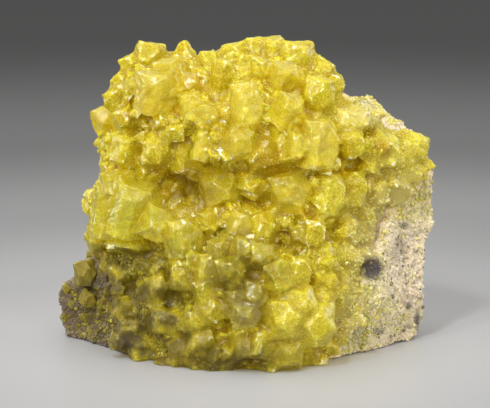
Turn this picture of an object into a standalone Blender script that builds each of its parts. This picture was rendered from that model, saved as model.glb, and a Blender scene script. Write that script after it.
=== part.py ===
"""Native sulfur on its rock: a hand-size specimen, resting on a flat base.

Blocky yellow crystals, grown together, cover the front, the top and the left side of a rough piece
of rock. The rock shows on the right, behind, and as a low apron at the lower left, where a few
crystals stand on their own.

The show face faces -Y. Its layout is drawn on a sheet that leans back by SHEET_LEAN, in steps of
SHEET_STEP, with columns to the right and rows downwards. A depth is a plain Y coordinate.
"""

from math import cos, pi, radians, sin

import bmesh
import bpy
import numpy as np
from mathutils import Matrix, Vector, noise

MM = 0.001

# Driving dimensions
SHEET_STEP = 0.235 * MM      # one step of the layout sheet
SHEET_LEAN = radians(12)     # how far the sheet leans back
SHEET_MIDDLE = 247.5         # column of the specimen's middle
SHEET_FLOOR = 343            # row that meets the floor under the specimen's middle
CENTRE_ROW = 200             # row of the point that the outlines are drawn around
BASE_BELLY = 28 * MM         # how far the base stands forward in the middle
HALF_WIDTH = 45 * MM
RIM_DEPTH = 5 * MM           # depth of the rock's widest line
TO_ORIGIN = (0.4 * MM, 4.7 * MM)   # moves the middle of the specimen's box over the origin
CRUST_THICK = 7 * MM         # sulfur crust that carries the crystals
CRUST_GRAIN = 1.3 * MM       # how uneven the crust is between its crystals
THIN_ROCK = 4 * MM           # the least rock behind the crust
CRUST_ROOT = 5 * MM          # how much deeper the crust reaches before the rock is cut from it
RIM_WRAP = 2 * MM            # how far the crust's edge wraps behind the rock's widest line
RIM_DIP = 3 * MM             # how far its edge dips into the show face
RIM_BURIED = (0.5 * MM, 3 * MM)    # distances inside the rock's outline over which it starts to dip
ROCK_BACK_FROM = 0.84        # share of the crust's radius from which the rock comes forward again
EDGE_POWER = 8               # how squarely a form rounds over to its outline
GAP = 0.3 * MM               # clearance between touching pieces
ROCK_GRAIN = 2.0 * MM        # how far the rock's rough lumps push its surface about
COARSE_LUMPS = 110           # lumps to a metre
FINE_LUMPS = 300
FINE_SHARE = 0.45            # how far the fine lumps push, as a share of the coarse ones
NOISE_PLACES = (0, 31, 67)   # far enough apart for three unrelated values
SOFT_SHIFTS = (-0.22, -0.1, 0, 0.1, 0.22)   # angles over which an outline's corners are evened out

# Rings of a form from its middle out to its outline, as (share of the radius, points).
FRONT_RINGS = (
    (0.14, 6), (0.28, 13), (0.42, 21), (0.54, 28), (0.65, 34), (0.75, 40), (0.84, 46), (0.91, 50),
    (0.96, 50),
)
RIM_POINTS = 54
BACK_RINGS = ((0.95, 46), (0.84, 38), (0.68, 28), (0.46, 18), (0.22, 8))

# Outlines on the sheet, as (column, row), clockwise from the left foot. Points below row 343 lie
# under the floor, where the flat base cuts them off.
ROCK_OUTLINE = (
    (66, 330), (59, 308), (62, 289), (70, 277), (79, 259), (87, 240), (94, 222), (100, 200),
    (112, 180), (118, 150), (114, 125), (122, 100), (138, 76), (162, 68), (195, 68), (230, 64),
    (270, 58), (298, 60), (316, 70), (332, 86), (346, 97), (370, 98), (386, 103), (396, 116),
    (408, 129), (422, 142), (426, 160), (428, 186), (436, 211), (434, 228), (423, 243),
    (424, 260), (419, 289), (425, 307), (423, 322), (414, 350), (400, 420), (330, 500),
    (247, 530), (165, 500), (95, 430), (72, 350),
)
CRUST_OUTLINE = (
    (100, 240), (90, 215), (94, 192), (105, 175), (108, 158), (105, 145), (99, 128), (103, 112),
    (111, 98), (118, 82), (130, 66), (142, 56), (168, 56), (196, 60), (226, 56), (252, 50),
    (280, 47), (302, 50), (320, 62), (334, 80), (346, 98), (360, 112), (392, 116), (410, 132),
    (426, 146), (430, 166), (422, 184), (402, 196), (386, 214), (376, 240), (368, 270),
    (364, 300), (360, 326), (350, 352), (318, 388), (290, 430), (240, 440), (200, 430),
    (150, 385), (128, 354), (118, 330), (113, 306), (108, 284), (107, 264), (112, 252),
)

# How far the show face draws back as it rises: (height on the sheet, amount), in millimetres.
FACE_RETREAT = ((-8, 0), (10, 1), (20, 4), (30, 7), (40, 9), (52, 10), (58, 12), (63, 17), (70, 29))

# Swellings and hollows of the show face: (column, row, reach across, reach up, amount forward), with
# the last three in millimetres.
FACE_LUMPS = {
    "great_hollow": (188, 192, 11, 7.5, -9),
    "hollow_right_arm": (262, 208, 9, 4, -3),
    "hollow_throat": (285, 238, 5, 5, -4),
    "green_shoulder": (132, 212, 11, 8, 4),
    "upper_brow": (205, 120, 22, 8, 3),
    "tall_block_root": (312, 140, 10, 10, 3),
    "ledge_cut": (352, 172, 9, 3, -4),
    "ledge_lip": (398, 148, 8, 6, 2),
    "lemon_belly": (298, 322, 11, 9, 3),
    "left_corner_cut": (72, 344, 8, 10, -6),
    "right_foot_cut": (375, 352, 14, 8, -6),
    "right_flank": (385, 285, 10, 10, 2),
    "apron_step": (120, 325, 12, 6, 2),
}

# Crystals that are grown together: name: (column, row, proud, (width, depth, length), habit,
# (nod, lean, turn)), with sizes in millimetres and angles in degrees. Proud is how far the front of
# a crystal stands out of the crust, nod tips its head forward, lean tips it to the right.
CRYSTALS = {
    "top_left_peak": (152, 62, 5.0, (7.0, 6.5, 7.5), "stub", (10, 12, 20)),
    "second_peak": (185, 59, 4.5, (6.0, 5.0, 7.5), "pyramid", (0, -8, 15)),
    "peak_saddle": (209, 64, 4.5, (4.5, 4.5, 5.0), "stub", (10, 5, 50)),
    "left_shoulder_upper": (134, 68, 5.0, (5.0, 5.0, 5.5), "stub", (20, -30, 10)),
    "left_shoulder_mid": (122, 84, 4.5, (4.0, 4.0, 4.5), "stub", (15, -35, 35)),
    "left_shoulder_lower": (115, 99, 4.5, (4.0, 4.0, 4.0), "block", (10, -25, 60)),
    "great_block_left": (158, 97, 6.5, (8.5, 7.0, 9.5), "block", (18, 4, 28)),
    "glint_plate": (137, 88, 6.0, (3.5, 3.0, 3.5), "block", (50, -20, 10)),
    "left_bulge": (106, 122, 4.5, (5.0, 5.0, 6.5), "stub", (10, -20, 40)),
    "left_bulge_foot": (104, 143, 4.0, (3.5, 3.5, 4.0), "stub", (0, -60, 15)),
    "left_face_low": (127, 121, 5.5, (5.0, 4.5, 5.0), "stub", (25, -15, 30)),
    "left_face_mid": (128, 152, 5.5, (6.0, 5.0, 6.5), "block", (5, 10, 35)),
    "spark_cluster": (143, 139, 6.5, (3.0, 3.0, 3.5), "pyramid", (40, 30, 20)),
    "hanging_prism_left": (158, 151, 6.5, (5.5, 5.0, 7.5), "stub", (-10, 6, 25)),
    "left_wall": (115, 174, 5.0, (5.0, 4.5, 6.0), "block", (0, -10, 30)),
    "upper_hollow_crystal": (172, 77, 4.0, (7.5, 6.0, 7.0), "stub", (30, -12, 10)),
    "saddle_block": (190, 88, 5.0, (5.0, 5.0, 5.5), "stub", (20, 15, 40)),
    "clear_pair_left": (193, 109, 5.5, (5.0, 4.5, 6.0), "block", (12, -12, 20)),
    "clear_pair_right": (210, 120, 5.5, (4.5, 4.5, 5.5), "stub", (25, 20, 50)),
    "leaning_prism": (203, 149, 7.5, (4.0, 4.0, 7.5), "block", (-4, 13, 12)),
    "hollow_glint": (194, 174, 6.0, (3.5, 3.0, 2.5), "block", (30, 10, 25)),
    "tall_pale_face": (223, 80, 5.5, (5.0, 4.5, 8.5), "block", (12, 6, 20)),
    "crown_left": (236, 57, 5.0, (6.0, 5.5, 5.5), "stub", (25, -10, 15)),
    "crown_mid": (256, 53, 4.5, (4.5, 4.5, 6.5), "stub", (10, 4, 40)),
    "crown_right": (275, 53, 4.5, (5.0, 5.0, 6.0), "block", (15, -4, 20)),
    "crown_glint": (260, 73, 6.5, (4.5, 4.5, 5.5), "stub", (35, 10, 15)),
    "crown_far_right": (298, 60, 4.5, (8.0, 6.5, 7.5), "stub", (30, 12, 30)),
    "right_shoulder_one": (322, 74, 4.5, (5.0, 5.0, 5.5), "stub", (15, 35, 20)),
    "right_shoulder_two": (335, 90, 4.5, (4.0, 4.0, 5.0), "stub", (10, 40, 50)),
    "pale_facet": (284, 80, 5.5, (6.0, 5.0, 5.5), "block", (25, 20, 35)),
    "right_hood": (318, 98, 5.5, (7.5, 6.0, 8.0), "stub", (20, 15, 10)),
    "pale_column": (246, 108, 6.5, (6.5, 5.5, 10.0), "block", (6, -3, 22)),
    "pale_stub": (238, 145, 8.0, (10.0, 8.0, 8.5), "stub", (35, -25, 12)),
    "rhomb_block": (288, 115, 7.0, (6.5, 6.0, 7.0), "block", (20, 28, 38)),
    "rhomb_foot": (284, 147, 5.5, (5.5, 5.0, 8.5), "block", (-8, -6, 30)),
    "tall_block": (317, 148, 7.5, (7.5, 7.0, 11.5), "block", (8, 3, 34)),
    "small_block": (296, 147, 7.5, (4.0, 4.0, 5.5), "block", (6, 8, 25)),
    "hollow_great_crystal": (221, 188, 7.5, (9.0, 7.5, 10.0), "stub", (-20, -18, 20)),
    "hollow_back_left": (186, 160, 4.0, (5.5, 5.0, 7.0), "block", (5, 4, 30)),
    "hollow_back_mid": (262, 155, 4.5, (6.0, 5.0, 7.0), "stub", (0, -12, 20)),
    "hollow_floor": (252, 188, 4.5, (6.0, 5.0, 5.5), "stub", (10, 14, 40)),
    "hollow_back_low": (172, 196, 3.5, (6.0, 5.0, 6.5), "stub", (12, 20, 15)),
    "gem_left": (112, 216, 6.0, (8.5, 7.5, 12.5), "block", (6, 10, 14)),
    "gem_middle": (134, 213, 7.0, (12.0, 9.0, 12.5), "block", (18, 16, 38)),
    "gem_upper": (121, 190, 5.0, (8.0, 7.0, 7.0), "stub", (22, -4, 15)),
    "gem_right": (160, 227, 6.5, (9.0, 7.5, 8.0), "stub", (14, 26, 40)),
    "gem_foot_left": (101, 240, 4.0, (6.0, 5.5, 5.5), "stub", (0, -25, 20)),
    "gem_foot_middle": (130, 243, 4.5, (9.0, 6.5, 5.5), "block", (-10, 6, 30)),
    "curved_crystal": (291, 194, 7.0, (9.0, 7.5, 9.0), "stub", (22, -14, 20)),
    "pale_pillar": (328, 196, 6.0, (6.0, 5.5, 9.5), "block", (5, 6, 25)),
    "amber_pillar": (352, 190, 4.5, (6.0, 5.0, 8.0), "block", (4, 2, 15)),
    "bead_crystal": (334, 166, 7.0, (3.0, 3.0, 3.0), "stub", (30, 0, 20)),
    "ledge_block": (351, 146, 5.5, (5.5, 5.0, 5.5), "block", (12, -6, 15)),
    "ledge_plate": (382, 151, 4.5, (7.5, 6.0, 7.0), "block", (22, 10, 25)),
    "shoulder_plate": (411, 148, 4.0, (8.0, 6.5, 8.0), "stub", (18, 25, 15)),
    "shoulder_foot": (418, 172, 3.5, (5.0, 4.5, 5.0), "stub", (5, 30, 40)),
    "ledge_bud_one": (350, 122, 4.5, (5.0, 4.5, 5.0), "stub", (30, 10, 20)),
    "ledge_bud_two": (372, 118, 4.0, (4.5, 4.0, 4.0), "stub", (30, 20, 45)),
    "hollow_cube": (208, 219, 6.5, (3.5, 3.5, 3.5), "block", (20, -14, 30)),
    "pale_cluster_left": (240, 225, 6.0, (4.5, 4.5, 5.5), "block", (10, 20, 25)),
    "pale_cluster_mid": (262, 228, 5.5, (6.0, 5.0, 6.5), "stub", (15, -15, 20)),
    "sparkle_twin_left": (300, 236, 6.0, (4.5, 4.5, 5.0), "stub", (20, -10, 20)),
    "sparkle_twin_right": (313, 233, 6.5, (4.5, 4.5, 5.5), "block", (10, 8, 20)),
    "water_clear_crystal": (220, 248, 6.5, (4.5, 4.0, 4.0), "block", (25, -5, 45)),
    "greenish_group": (184, 240, 6.0, (7.5, 6.5, 9.0), "block", (8, -6, 30)),
    "greenish_foot": (189, 259, 5.5, (5.0, 4.5, 5.0), "stub", (0, 10, 20)),
    "pale_cluster_low": (246, 251, 5.5, (6.0, 5.0, 5.5), "stub", (20, 15, 30)),
    "grey_crystal": (208, 268, 5.5, (5.0, 4.5, 5.5), "block", (0, 8, 20)),
    "bright_stub": (231, 271, 7.5, (6.5, 6.0, 5.5), "stub", (35, -8, 15)),
    "mid_right_stub": (264, 259, 6.0, (8.0, 6.5, 6.5), "stub", (10, 12, 30)),
    "split_block_left": (279, 276, 6.5, (7.0, 6.0, 7.0), "block", (10, -24, 40)),
    "split_block_right": (298, 270, 7.5, (5.0, 4.5, 6.0), "block", (15, 12, 20)),
    "right_edge_stub": (322, 262, 5.0, (6.0, 5.0, 6.5), "stub", (10, 18, 25)),
    "right_edge_foot": (326, 292, 4.5, (5.5, 5.0, 6.0), "stub", (5, 14, 40)),
    "smoky_cluster_top": (256, 296, 5.5, (6.0, 5.5, 6.5), "stub", (20, 10, 20)),
    "smoky_cluster_foot": (248, 316, 6.0, (6.5, 5.5, 6.0), "stub", (0, -10, 40)),
    "smoky_cluster_side": (236, 300, 5.5, (3.5, 3.5, 5.0), "block", (15, -14, 20)),
    "lemon_group_left": (286, 318, 7.0, (7.0, 6.5, 8.5), "stub", (12, -8, 20)),
    "lemon_group_mid": (300, 302, 6.5, (7.0, 6.0, 6.0), "stub", (25, 5, 35)),
    "lemon_group_right": (315, 324, 7.5, (9.0, 7.5, 9.5), "stub", (12, 12, 15)),
    "amber_foot": (287, 346, 4.5, (7.0, 6.0, 9.0), "stub", (-16, -4, 15)),
    "hanging_group_left": (243, 343, 4.5, (5.0, 4.5, 6.5), "block", (-10, -8, 20)),
    "hanging_group_right": (261, 343, 5.0, (5.0, 4.5, 6.5), "block", (-12, 6, 35)),
    "foot_tip": (230, 355, 3.5, (5.0, 4.5, 5.0), "stub", (-10, 25, 20)),
    "foot_lump_left": (181, 352, 3.5, (5.0, 4.5, 5.5), "stub", (-5, -10, 20)),
    "foot_lump_mid": (205, 342, 4.0, (6.0, 5.5, 6.5), "stub", (8, 14, 30)),
    "low_crust_one": (213, 310, 5.0, (6.0, 5.0, 5.5), "stub", (15, -10, 20)),
    "low_crust_two": (196, 322, 5.0, (4.5, 4.5, 5.0), "stub", (20, 12, 50)),
    "low_crust_three": (206, 291, 5.0, (5.0, 4.5, 5.5), "block", (10, -16, 25)),
    "crust_stub_pair": (182, 278, 5.5, (4.5, 4.0, 5.5), "stub", (10, 0, 20)),
    "crust_knob_left": (160, 288, 4.0, (6.0, 5.0, 5.5), "stub", (10, -12, 25)),
    "crust_shelf": (170, 321, 3.5, (8.0, 5.5, 5.5), "block", (12, 6, 15)),
    "apron_knob": (126, 276, 3.0, (6.0, 5.0, 5.0), "stub", (10, -14, 30)),
    "apron_stub": (124, 305, 3.0, (4.5, 4.0, 5.0), "block", (10, 5, 20)),
    "apron_step": (135, 331, 3.5, (7.0, 5.5, 5.5), "stub", (10, 12, 15)),
    "apron_cube": (140, 350, 3.5, (4.5, 4.5, 5.0), "block", (2, -3, 18)),
}

# Crystals that stand on their own on the bare rock of the apron, given in the same way.
APRON_CRYSTALS = {
    "apron_long_crystal": (91, 272, 2.5, (5.0, 4.5, 6.0), "stub", (12, -10, 20)),
    "apron_small_crystal": (90, 299, 2.5, (3.5, 3.5, 3.5), "block", (20, 28, 20)),
}

# Rows of crystals that carry the growth over the top: (depth in millimetres, first and last column)
TOP_ROWS = ((-7, 150, 300), (0, 128, 330), (7, 124, 334), (12, 136, 322))
TOP_PITCH = 30               # steps between the crystals of a row
TOP_SHIFT = 6                # most steps that one stands off its place in the row
TOP_DEPTH_SHIFT = 1          # and off its depth, in millimetres
TOP_SIZE = (5.0, 7.0)        # smallest and largest, in millimetres
TOP_SINK = 0.18              # share of its size that a crystal is let into the growth
TOP_NOD = (-25, 15)          # before it nods back with its depth, a degree to the millimetre
TOP_LEAN = (-25, 25)
TOP_TURN = (0, 90)
TOP_BLOCKS = 0.35            # share of them that are blocks
TOP_SEARCH = (44, 160)       # rows between which the growth's upper side lies

# The rock's back as broad broken faces: (depth in the middle of the base in millimetres, slope
# across, slope up). The face that reaches least far at a place is the one that shows there.
BACK_FACES = (
    (27, -0.04, -0.10), (25, 0.10, 0.02), (50, -0.80, -0.10), (50, 0.80, -0.16), (55, 0.12, -0.62),
    (44, -0.30, -0.42),
)

# Each habit as the planes that cut it from a block one unit wide: (normal, distance from the middle).
# The block's own six sides are left where no plane takes them off.
HABIT_PLANES = {
    "stub": (
        ((-1, -1, 1), 0.47), ((1, -1, 1), 0.47), ((-1, -1, -1), 0.50), ((1, -1, -1), 0.50),
        ((0.2, 1, 1), 0.50),
    ),
    "block": (
        ((-1, -1, 0.1), 0.56), ((1, -0.9, 1.3), 0.57), ((-1, -1, 1.4), 0.60), ((1, -1, -1), 0.66),
    ),
    "pyramid": (
        ((-1, -1, 0.7), 0.36), ((1, -1, 0.7), 0.36), ((-1, 1, 0.7), 0.36), ((1, 1, 0.7), 0.36),
        ((-1, -1, -1), 0.42), ((1, -1, -1), 0.42),
    ),
}
FACE_TILT = 0.10             # how unevenly a crystal's faces lean
FACE_SHIFT = 0.06            # how unevenly they lie in or out
SHORT_EDGE = 0.02            # corners nearer than this share of the block become one
FLAT_WITHIN = radians(1.5)   # faces that lean less than this from each other become one
ON_PLANE = 1e-5              # how near a corner counts as on a cutting plane, as a share
ON_FLOOR = 0.0001 * MM       # and on the floor
SEED = 6                     # of every unevenness

# Smaller crystals fill the crust between the named ones, on a jittered lattice of the sheet.
FILLER_PITCH = 25            # steps between them
FILLER_ROWS = (64, 372)
FILLER_COLUMNS = (96, 424)
FILLER_SHIFT = 7             # most steps that one stands off the lattice
FILLER_ROOM = 0.37           # share of two crystals' sizes that keeps them apart
FILLER_EDGE = 0.95           # share of the crust's radius that they keep to
FILLER_SIZE = (4.2, 6.2)     # smallest and largest, in millimetres
FILLER_PROUD = 3.2
FILLER_DEPTH = 0.9           # shares of the size
FILLER_LENGTH = (0.9, 1.4)
FILLER_NOD = (-10, 40)
FILLER_LEAN = (-30, 30)
FILLER_TURN = (0, 60)
FILLER_BLOCKS = 0.4          # share of them that are blocks

# Towards the bare rock on the right the growth thins out, and its crystals are small.
THIN_COLUMN = 332
THIN_ROW = 205
THIN_SHARE = 0.62            # of the size and of how far they stand out

# Finishes, as (colour, roughness).
FINISHES = {
    "sulfur": ((0.70, 0.55, 0.06), 0.3),
    "dull_sulfur": ((0.42, 0.34, 0.10), 0.5),
    "rock": ((0.46, 0.38, 0.24), 0.9),
}


def on_sheet(column, row):
    """A place on the sheet in metres: across from the middle, and up from the floor."""
    return (column - SHEET_MIDDLE) * SHEET_STEP, (SHEET_FLOOR - row) * SHEET_STEP


def in_space(across, up, depth):
    """The point at a place on the sheet, at a depth."""
    return Vector((across, depth, (up - depth * sin(SHEET_LEAN)) / cos(SHEET_LEAN)))


CENTRE = on_sheet(SHEET_MIDDLE, CENTRE_ROW)


def radius_table(outline):
    """An outline as angles and radii around the centre, sorted by angle."""
    points = np.array([on_sheet(column, row) for column, row in outline]) - np.array(CENTRE)
    angles = np.arctan2(points[:, 1], points[:, 0])
    order = np.argsort(angles)
    return angles[order], np.hypot(points[:, 0], points[:, 1])[order]


ROCK_RADII = radius_table(ROCK_OUTLINE)
CRUST_RADII = radius_table(CRUST_OUTLINE)


def radius_at(table, angle):
    return float(np.interp(angle, table[0], table[1], period=2 * pi))


def soft_radius(table, angle):
    """An outline's radius with its corners evened out, so that they don't crease the surface."""
    return sum(radius_at(table, angle + shift) for shift in SOFT_SHIFTS) / len(SOFT_SHIFTS)


def polar(across, up):
    """Distance and angle of a place on the sheet from the centre."""
    x = across - CENTRE[0]
    y = up - CENTRE[1]
    return float(np.hypot(x, y)), float(np.arctan2(y, x))


def smooth(low, high, value):
    """0 below low, 1 above high, and an even curve between."""
    share = min(max((value - low) / (high - low), 0.0), 1.0)
    return share * share * (3 - 2 * share)


def face_depth(across, up):
    """Depth of the show face before any crystals, from its belly, retreat and lumps."""
    fullness = 1 - min(abs(across) / HALF_WIDTH, 1.0) ** 2
    heights = [height * MM for height, _ in FACE_RETREAT]
    amounts = [amount * MM for _, amount in FACE_RETREAT]
    depth = RIM_DEPTH - (BASE_BELLY + RIM_DEPTH - float(np.interp(up, heights, amounts))) * fullness
    for column, row, reach_across, reach_up, forward in FACE_LUMPS.values():
        x, y = on_sheet(column, row)
        falloff = ((across - x) / (reach_across * MM)) ** 2 + ((up - y) / (reach_up * MM)) ** 2
        depth -= forward * MM * float(np.exp(-falloff))
    return depth


def back_depth(across, up):
    """Depth of the rock's back, where its broken faces meet."""
    return min(reach * MM + slope * across + rise * up for reach, slope, rise in BACK_FACES)


def edge_share(ring):
    """How much of the full depth is left at a ring, falling steeply to nothing at the outline."""
    return (1 - min(ring, 1.0) ** EDGE_POWER) ** 0.5


def crust_rim(angle):
    """Depth of the crust's edge: over the top it wraps round the rock, elsewhere it dips under it."""
    radius = radius_at(CRUST_RADII, angle)
    across = CENTRE[0] + radius * cos(angle)
    up = CENTRE[1] + radius * sin(angle)
    buried = smooth(*RIM_BURIED, radius_at(ROCK_RADII, angle) - radius)
    return (1 - buried) * (RIM_DEPTH + RIM_WRAP) + buried * (face_depth(across, up) + RIM_DIP)


def crust_depth(across, up):
    """Depth of the crust's front surface."""
    distance, angle = polar(across, up)
    rim = crust_rim(angle)
    return rim + (face_depth(across, up) - rim) * edge_share(distance / radius_at(CRUST_RADII, angle))


def rock_depth(across, up):
    """Depth of the rock's front surface, which lies back under the crust."""
    distance, angle = polar(across, up)
    share = distance / radius_at(CRUST_RADII, angle)
    under_crust = 1 - smooth(ROCK_BACK_FROM, 1.0, share)
    face = face_depth(across, up) + CRUST_THICK * under_crust
    face = min(face, back_depth(across, up) - THIN_ROCK)
    return RIM_DEPTH + (face - RIM_DEPTH) * edge_share(distance / soft_radius(ROCK_RADII, angle))


def noise_shift(point):
    """A smooth random direction at a point, from one noise read at three places."""
    return Vector([noise.noise(point + Vector((place, 0, 0))) for place in NOISE_PLACES])


def roughen(thing, grain):
    """Pushes the surface about in coarse and fine lumps."""
    for vert in thing.data.vertices:
        coarse = noise_shift(vert.co * COARSE_LUMPS)
        fine = noise_shift(vert.co * FINE_LUMPS)
        vert.co += grain * (coarse + FINE_SHARE * fine)


def stitch(mesh, inner, outer):
    """Triangles between two rings, each a list of vertices evenly spread around the same centre."""
    i = 0
    o = 0
    while i < len(inner) or o < len(outer):
        inner_vert = inner[i % len(inner)]
        outer_vert = outer[o % len(outer)]
        if (i + 1) / len(inner) < (o + 1) / len(outer):
            mesh.faces.new((inner_vert, inner[(i + 1) % len(inner)], outer_vert))
            i += 1
        else:
            mesh.faces.new((inner_vert, outer[(o + 1) % len(outer)], outer_vert))
            o += 1


def rounded_form(name, radii, front, back):
    """A closed form on an outline: rings of its front, its outline, then rings of its back."""
    mesh = bmesh.new()
    front_pole = mesh.verts.new(in_space(*CENTRE, front(*CENTRE)))
    rings = []
    plan = [(*ring, front) for ring in FRONT_RINGS] + [(1.0, RIM_POINTS, front)]
    plan += [(*ring, back) for ring in BACK_RINGS]
    for share, count, surface in plan:
        ring = []
        for number in range(count):
            angle = 2 * pi * number / count - pi
            radius = radius_at(radii, angle) * share
            across = CENTRE[0] + radius * cos(angle)
            up = CENTRE[1] + radius * sin(angle)
            ring.append(mesh.verts.new(in_space(across, up, surface(across, up))))
        rings.append(ring)
    back_pole = mesh.verts.new(in_space(*CENTRE, back(*CENTRE)))
    stitch_pole(mesh, front_pole, rings[0])
    for inner, outer in zip(rings, rings[1:]):
        stitch(mesh, inner, outer)
    stitch_pole(mesh, back_pole, rings[-1])
    return finish_mesh(name, mesh)


def stitch_pole(mesh, pole, ring):
    for first, second in zip(ring, ring[1:] + ring[:1]):
        mesh.faces.new((pole, first, second))


def finish_mesh(name, mesh):
    """The mesh as an object of the scene, with its faces pointing out."""
    bmesh.ops.recalc_face_normals(mesh, faces=mesh.faces)
    data = bpy.data.meshes.new(name)
    mesh.to_mesh(data)
    mesh.free()
    thing = bpy.data.objects.new(name, data)
    bpy.context.scene.collection.objects.link(thing)
    return thing


def cut_flat(thing):
    """Cuts the object off on the floor, and closes the cut as the face that it rests on."""
    mesh = bmesh.new()
    mesh.from_mesh(thing.data)
    whole = mesh.verts[:] + mesh.edges[:] + mesh.faces[:]
    bmesh.ops.bisect_plane(
        mesh, geom=whole, dist=ON_FLOOR, plane_co=(0, 0, 0), plane_no=(0, 0, -1), clear_outer=True
    )
    open_edges = [edge for edge in mesh.edges if edge.is_boundary]
    if open_edges:
        bmesh.ops.holes_fill(mesh, edges=open_edges)
    bmesh.ops.triangulate(mesh, faces=mesh.faces)
    bmesh.ops.recalc_face_normals(mesh, faces=mesh.faces)
    mesh.to_mesh(thing.data)
    mesh.free()


def cut_block(habit, uneven):
    """A block one unit wide, cut by the planes of a habit, each a little uneven."""
    mesh = bmesh.new()
    bmesh.ops.create_cube(mesh, size=1.0)
    for normal, distance in HABIT_PLANES[habit]:
        tilted = Vector(normal).normalized() + FACE_TILT * Vector(uneven.uniform(-1, 1, 3))
        tilted.normalize()
        shifted = tilted * distance * (1 + FACE_SHIFT * uneven.uniform(-1, 1))
        whole = mesh.verts[:] + mesh.edges[:] + mesh.faces[:]
        bmesh.ops.bisect_plane(
            mesh, geom=whole, dist=ON_PLANE, plane_co=shifted, plane_no=tilted, clear_outer=True
        )
        open_edges = [edge for edge in mesh.edges if edge.is_boundary]
        if open_edges:
            bmesh.ops.holes_fill(mesh, edges=open_edges)
    bmesh.ops.remove_doubles(mesh, verts=mesh.verts, dist=SHORT_EDGE)
    bmesh.ops.delete(mesh, geom=mesh.faces[:] + mesh.edges[:], context="EDGES_FACES")
    bmesh.ops.convex_hull(mesh, input=mesh.verts)
    bmesh.ops.dissolve_limit(mesh, angle_limit=FLAT_WITHIN, verts=mesh.verts, edges=mesh.edges)
    return mesh


def crystal(name, position, size, habit, angles, uneven):
    """One crystal: a cut block at its size, turned on its axis, then leaned and nodded."""
    nod, lean, turn = (radians(angle) for angle in angles)
    pose = (
        Matrix.Translation(position)
        @ Matrix.Rotation(lean, 4, "Y")
        @ Matrix.Rotation(nod - SHEET_LEAN, 4, "X")
        @ Matrix.Rotation(turn, 4, "Z")
        @ Matrix.Diagonal((*(side * MM for side in size), 1))
    )
    mesh = cut_block(habit, uneven)
    bmesh.ops.transform(mesh, matrix=pose, verts=mesh.verts)
    return finish_mesh(name, mesh)


def fillers(uneven):
    """Rows for the smaller crystals, wherever the lattice leaves room between the named ones."""
    rows = {}
    for row in range(*FILLER_ROWS, FILLER_PITCH):
        for column in range(*FILLER_COLUMNS, FILLER_PITCH):
            place = tuple(line + uneven.uniform(-FILLER_SHIFT, FILLER_SHIFT) for line in (column, row))
            share = THIN_SHARE if place[0] > THIN_COLUMN and place[1] > THIN_ROW else 1
            size = uneven.uniform(*FILLER_SIZE) * share
            angles = [uneven.uniform(*reach) for reach in (FILLER_NOD, FILLER_LEAN, FILLER_TURN)]
            distance, angle = polar(*on_sheet(*place))
            if distance > FILLER_EDGE * radius_at(CRUST_RADII, angle) or crowded(place, size):
                continue
            sides = (size, size * FILLER_DEPTH, size * uneven.uniform(*FILLER_LENGTH))
            habit = "block" if uneven.uniform() < FILLER_BLOCKS else "stub"
            rows[f"filler_{len(rows)}"] = (*place, FILLER_PROUD * share, sides, habit, angles)
    return rows


def top_height(across, depth):
    """Height on the sheet at which the growth's upper side lies at a depth."""
    surface = crust_depth if depth < RIM_DEPTH else back_depth_of_rock
    behind = depth >= RIM_DEPTH
    for row in range(*TOP_SEARCH):
        _, up = on_sheet(SHEET_MIDDLE, row)
        distance, angle = polar(across, up)
        if distance > radius_at(CRUST_RADII, angle):
            continue
        if (surface(across, up) > depth) == behind:
            return up
    return CENTRE[1]


def top_crystals(uneven):
    """The rows of crystals over the top, each standing on the growth's upper side."""
    crystals = []
    for depth, first, last in TOP_ROWS:
        for column in range(first, last, TOP_PITCH):
            across, _ = on_sheet(column + uneven.uniform(-TOP_SHIFT, TOP_SHIFT), SHEET_FLOOR)
            size = uneven.uniform(*TOP_SIZE)
            up = top_height(across, depth * MM) - TOP_SINK * size * MM
            shifted = depth + uneven.uniform(-TOP_DEPTH_SHIFT, TOP_DEPTH_SHIFT)
            position = in_space(across, up, shifted * MM)
            nod, lean, turn = (uneven.uniform(*reach) for reach in (TOP_NOD, TOP_LEAN, TOP_TURN))
            angles = (nod - depth, lean, turn)
            name = f"top_{len(crystals)}"
            habit = "block" if uneven.uniform() < TOP_BLOCKS else "stub"
            crystals.append(crystal(name, position, (size, size, size), habit, angles, uneven))
    return crystals


def crowded(place, size):
    """Whether a named crystal already stands where a filler would go."""
    for column, row, _, sides, _, _ in CRYSTALS.values():
        reach = FILLER_ROOM * (size + (sides[0] + sides[2]) / 2) * MM / SHEET_STEP
        if np.hypot(place[0] - column, place[1] - row) < reach:
            return True
    return False


def placed_crystal(name, row_of_table, surface, uneven):
    """A crystal from its row of a table, with its front as far out of the surface as the row says."""
    column, row, proud, size, habit, angles = row_of_table
    across, up = on_sheet(column, row)
    depth = surface(across, up) - proud * MM + size[1] * MM / 2
    return crystal(name, in_space(across, up, depth), size, habit, angles, uneven)


def as_helper(thing):
    """Marks an object that only helps to make another."""
    thing.hide_render = True
    thing.display_type = "WIRE"


def boolean(thing, operation, helpers):
    """Joins helpers to the object, or cuts them from it, and applies the result."""
    group = bpy.data.collections.new(thing.name + "_" + operation.lower())
    for helper in helpers:
        group.objects.link(helper)
    modifier = thing.modifiers.new(operation, "BOOLEAN")
    modifier.operation = operation
    modifier.operand_type = "COLLECTION"
    modifier.collection = group
    modifier.solver = "EXACT"
    graph = bpy.context.evaluated_depsgraph_get()
    result = bpy.data.meshes.new_from_object(thing.evaluated_get(graph))
    thing.modifiers.clear()
    thing.data = result
    bpy.data.collections.remove(group)


def islands(mesh):
    """The connected bodies of a bmesh, each as a list of vertices."""
    left = set(mesh.verts)
    found = []
    while left:
        body = []
        front = [left.pop()]
        while front:
            vert = front.pop()
            body.append(vert)
            for edge in vert.link_edges:
                other = edge.other_vert(vert)
                if other in left:
                    left.remove(other)
                    front.append(other)
        found.append(body)
    return found


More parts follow.
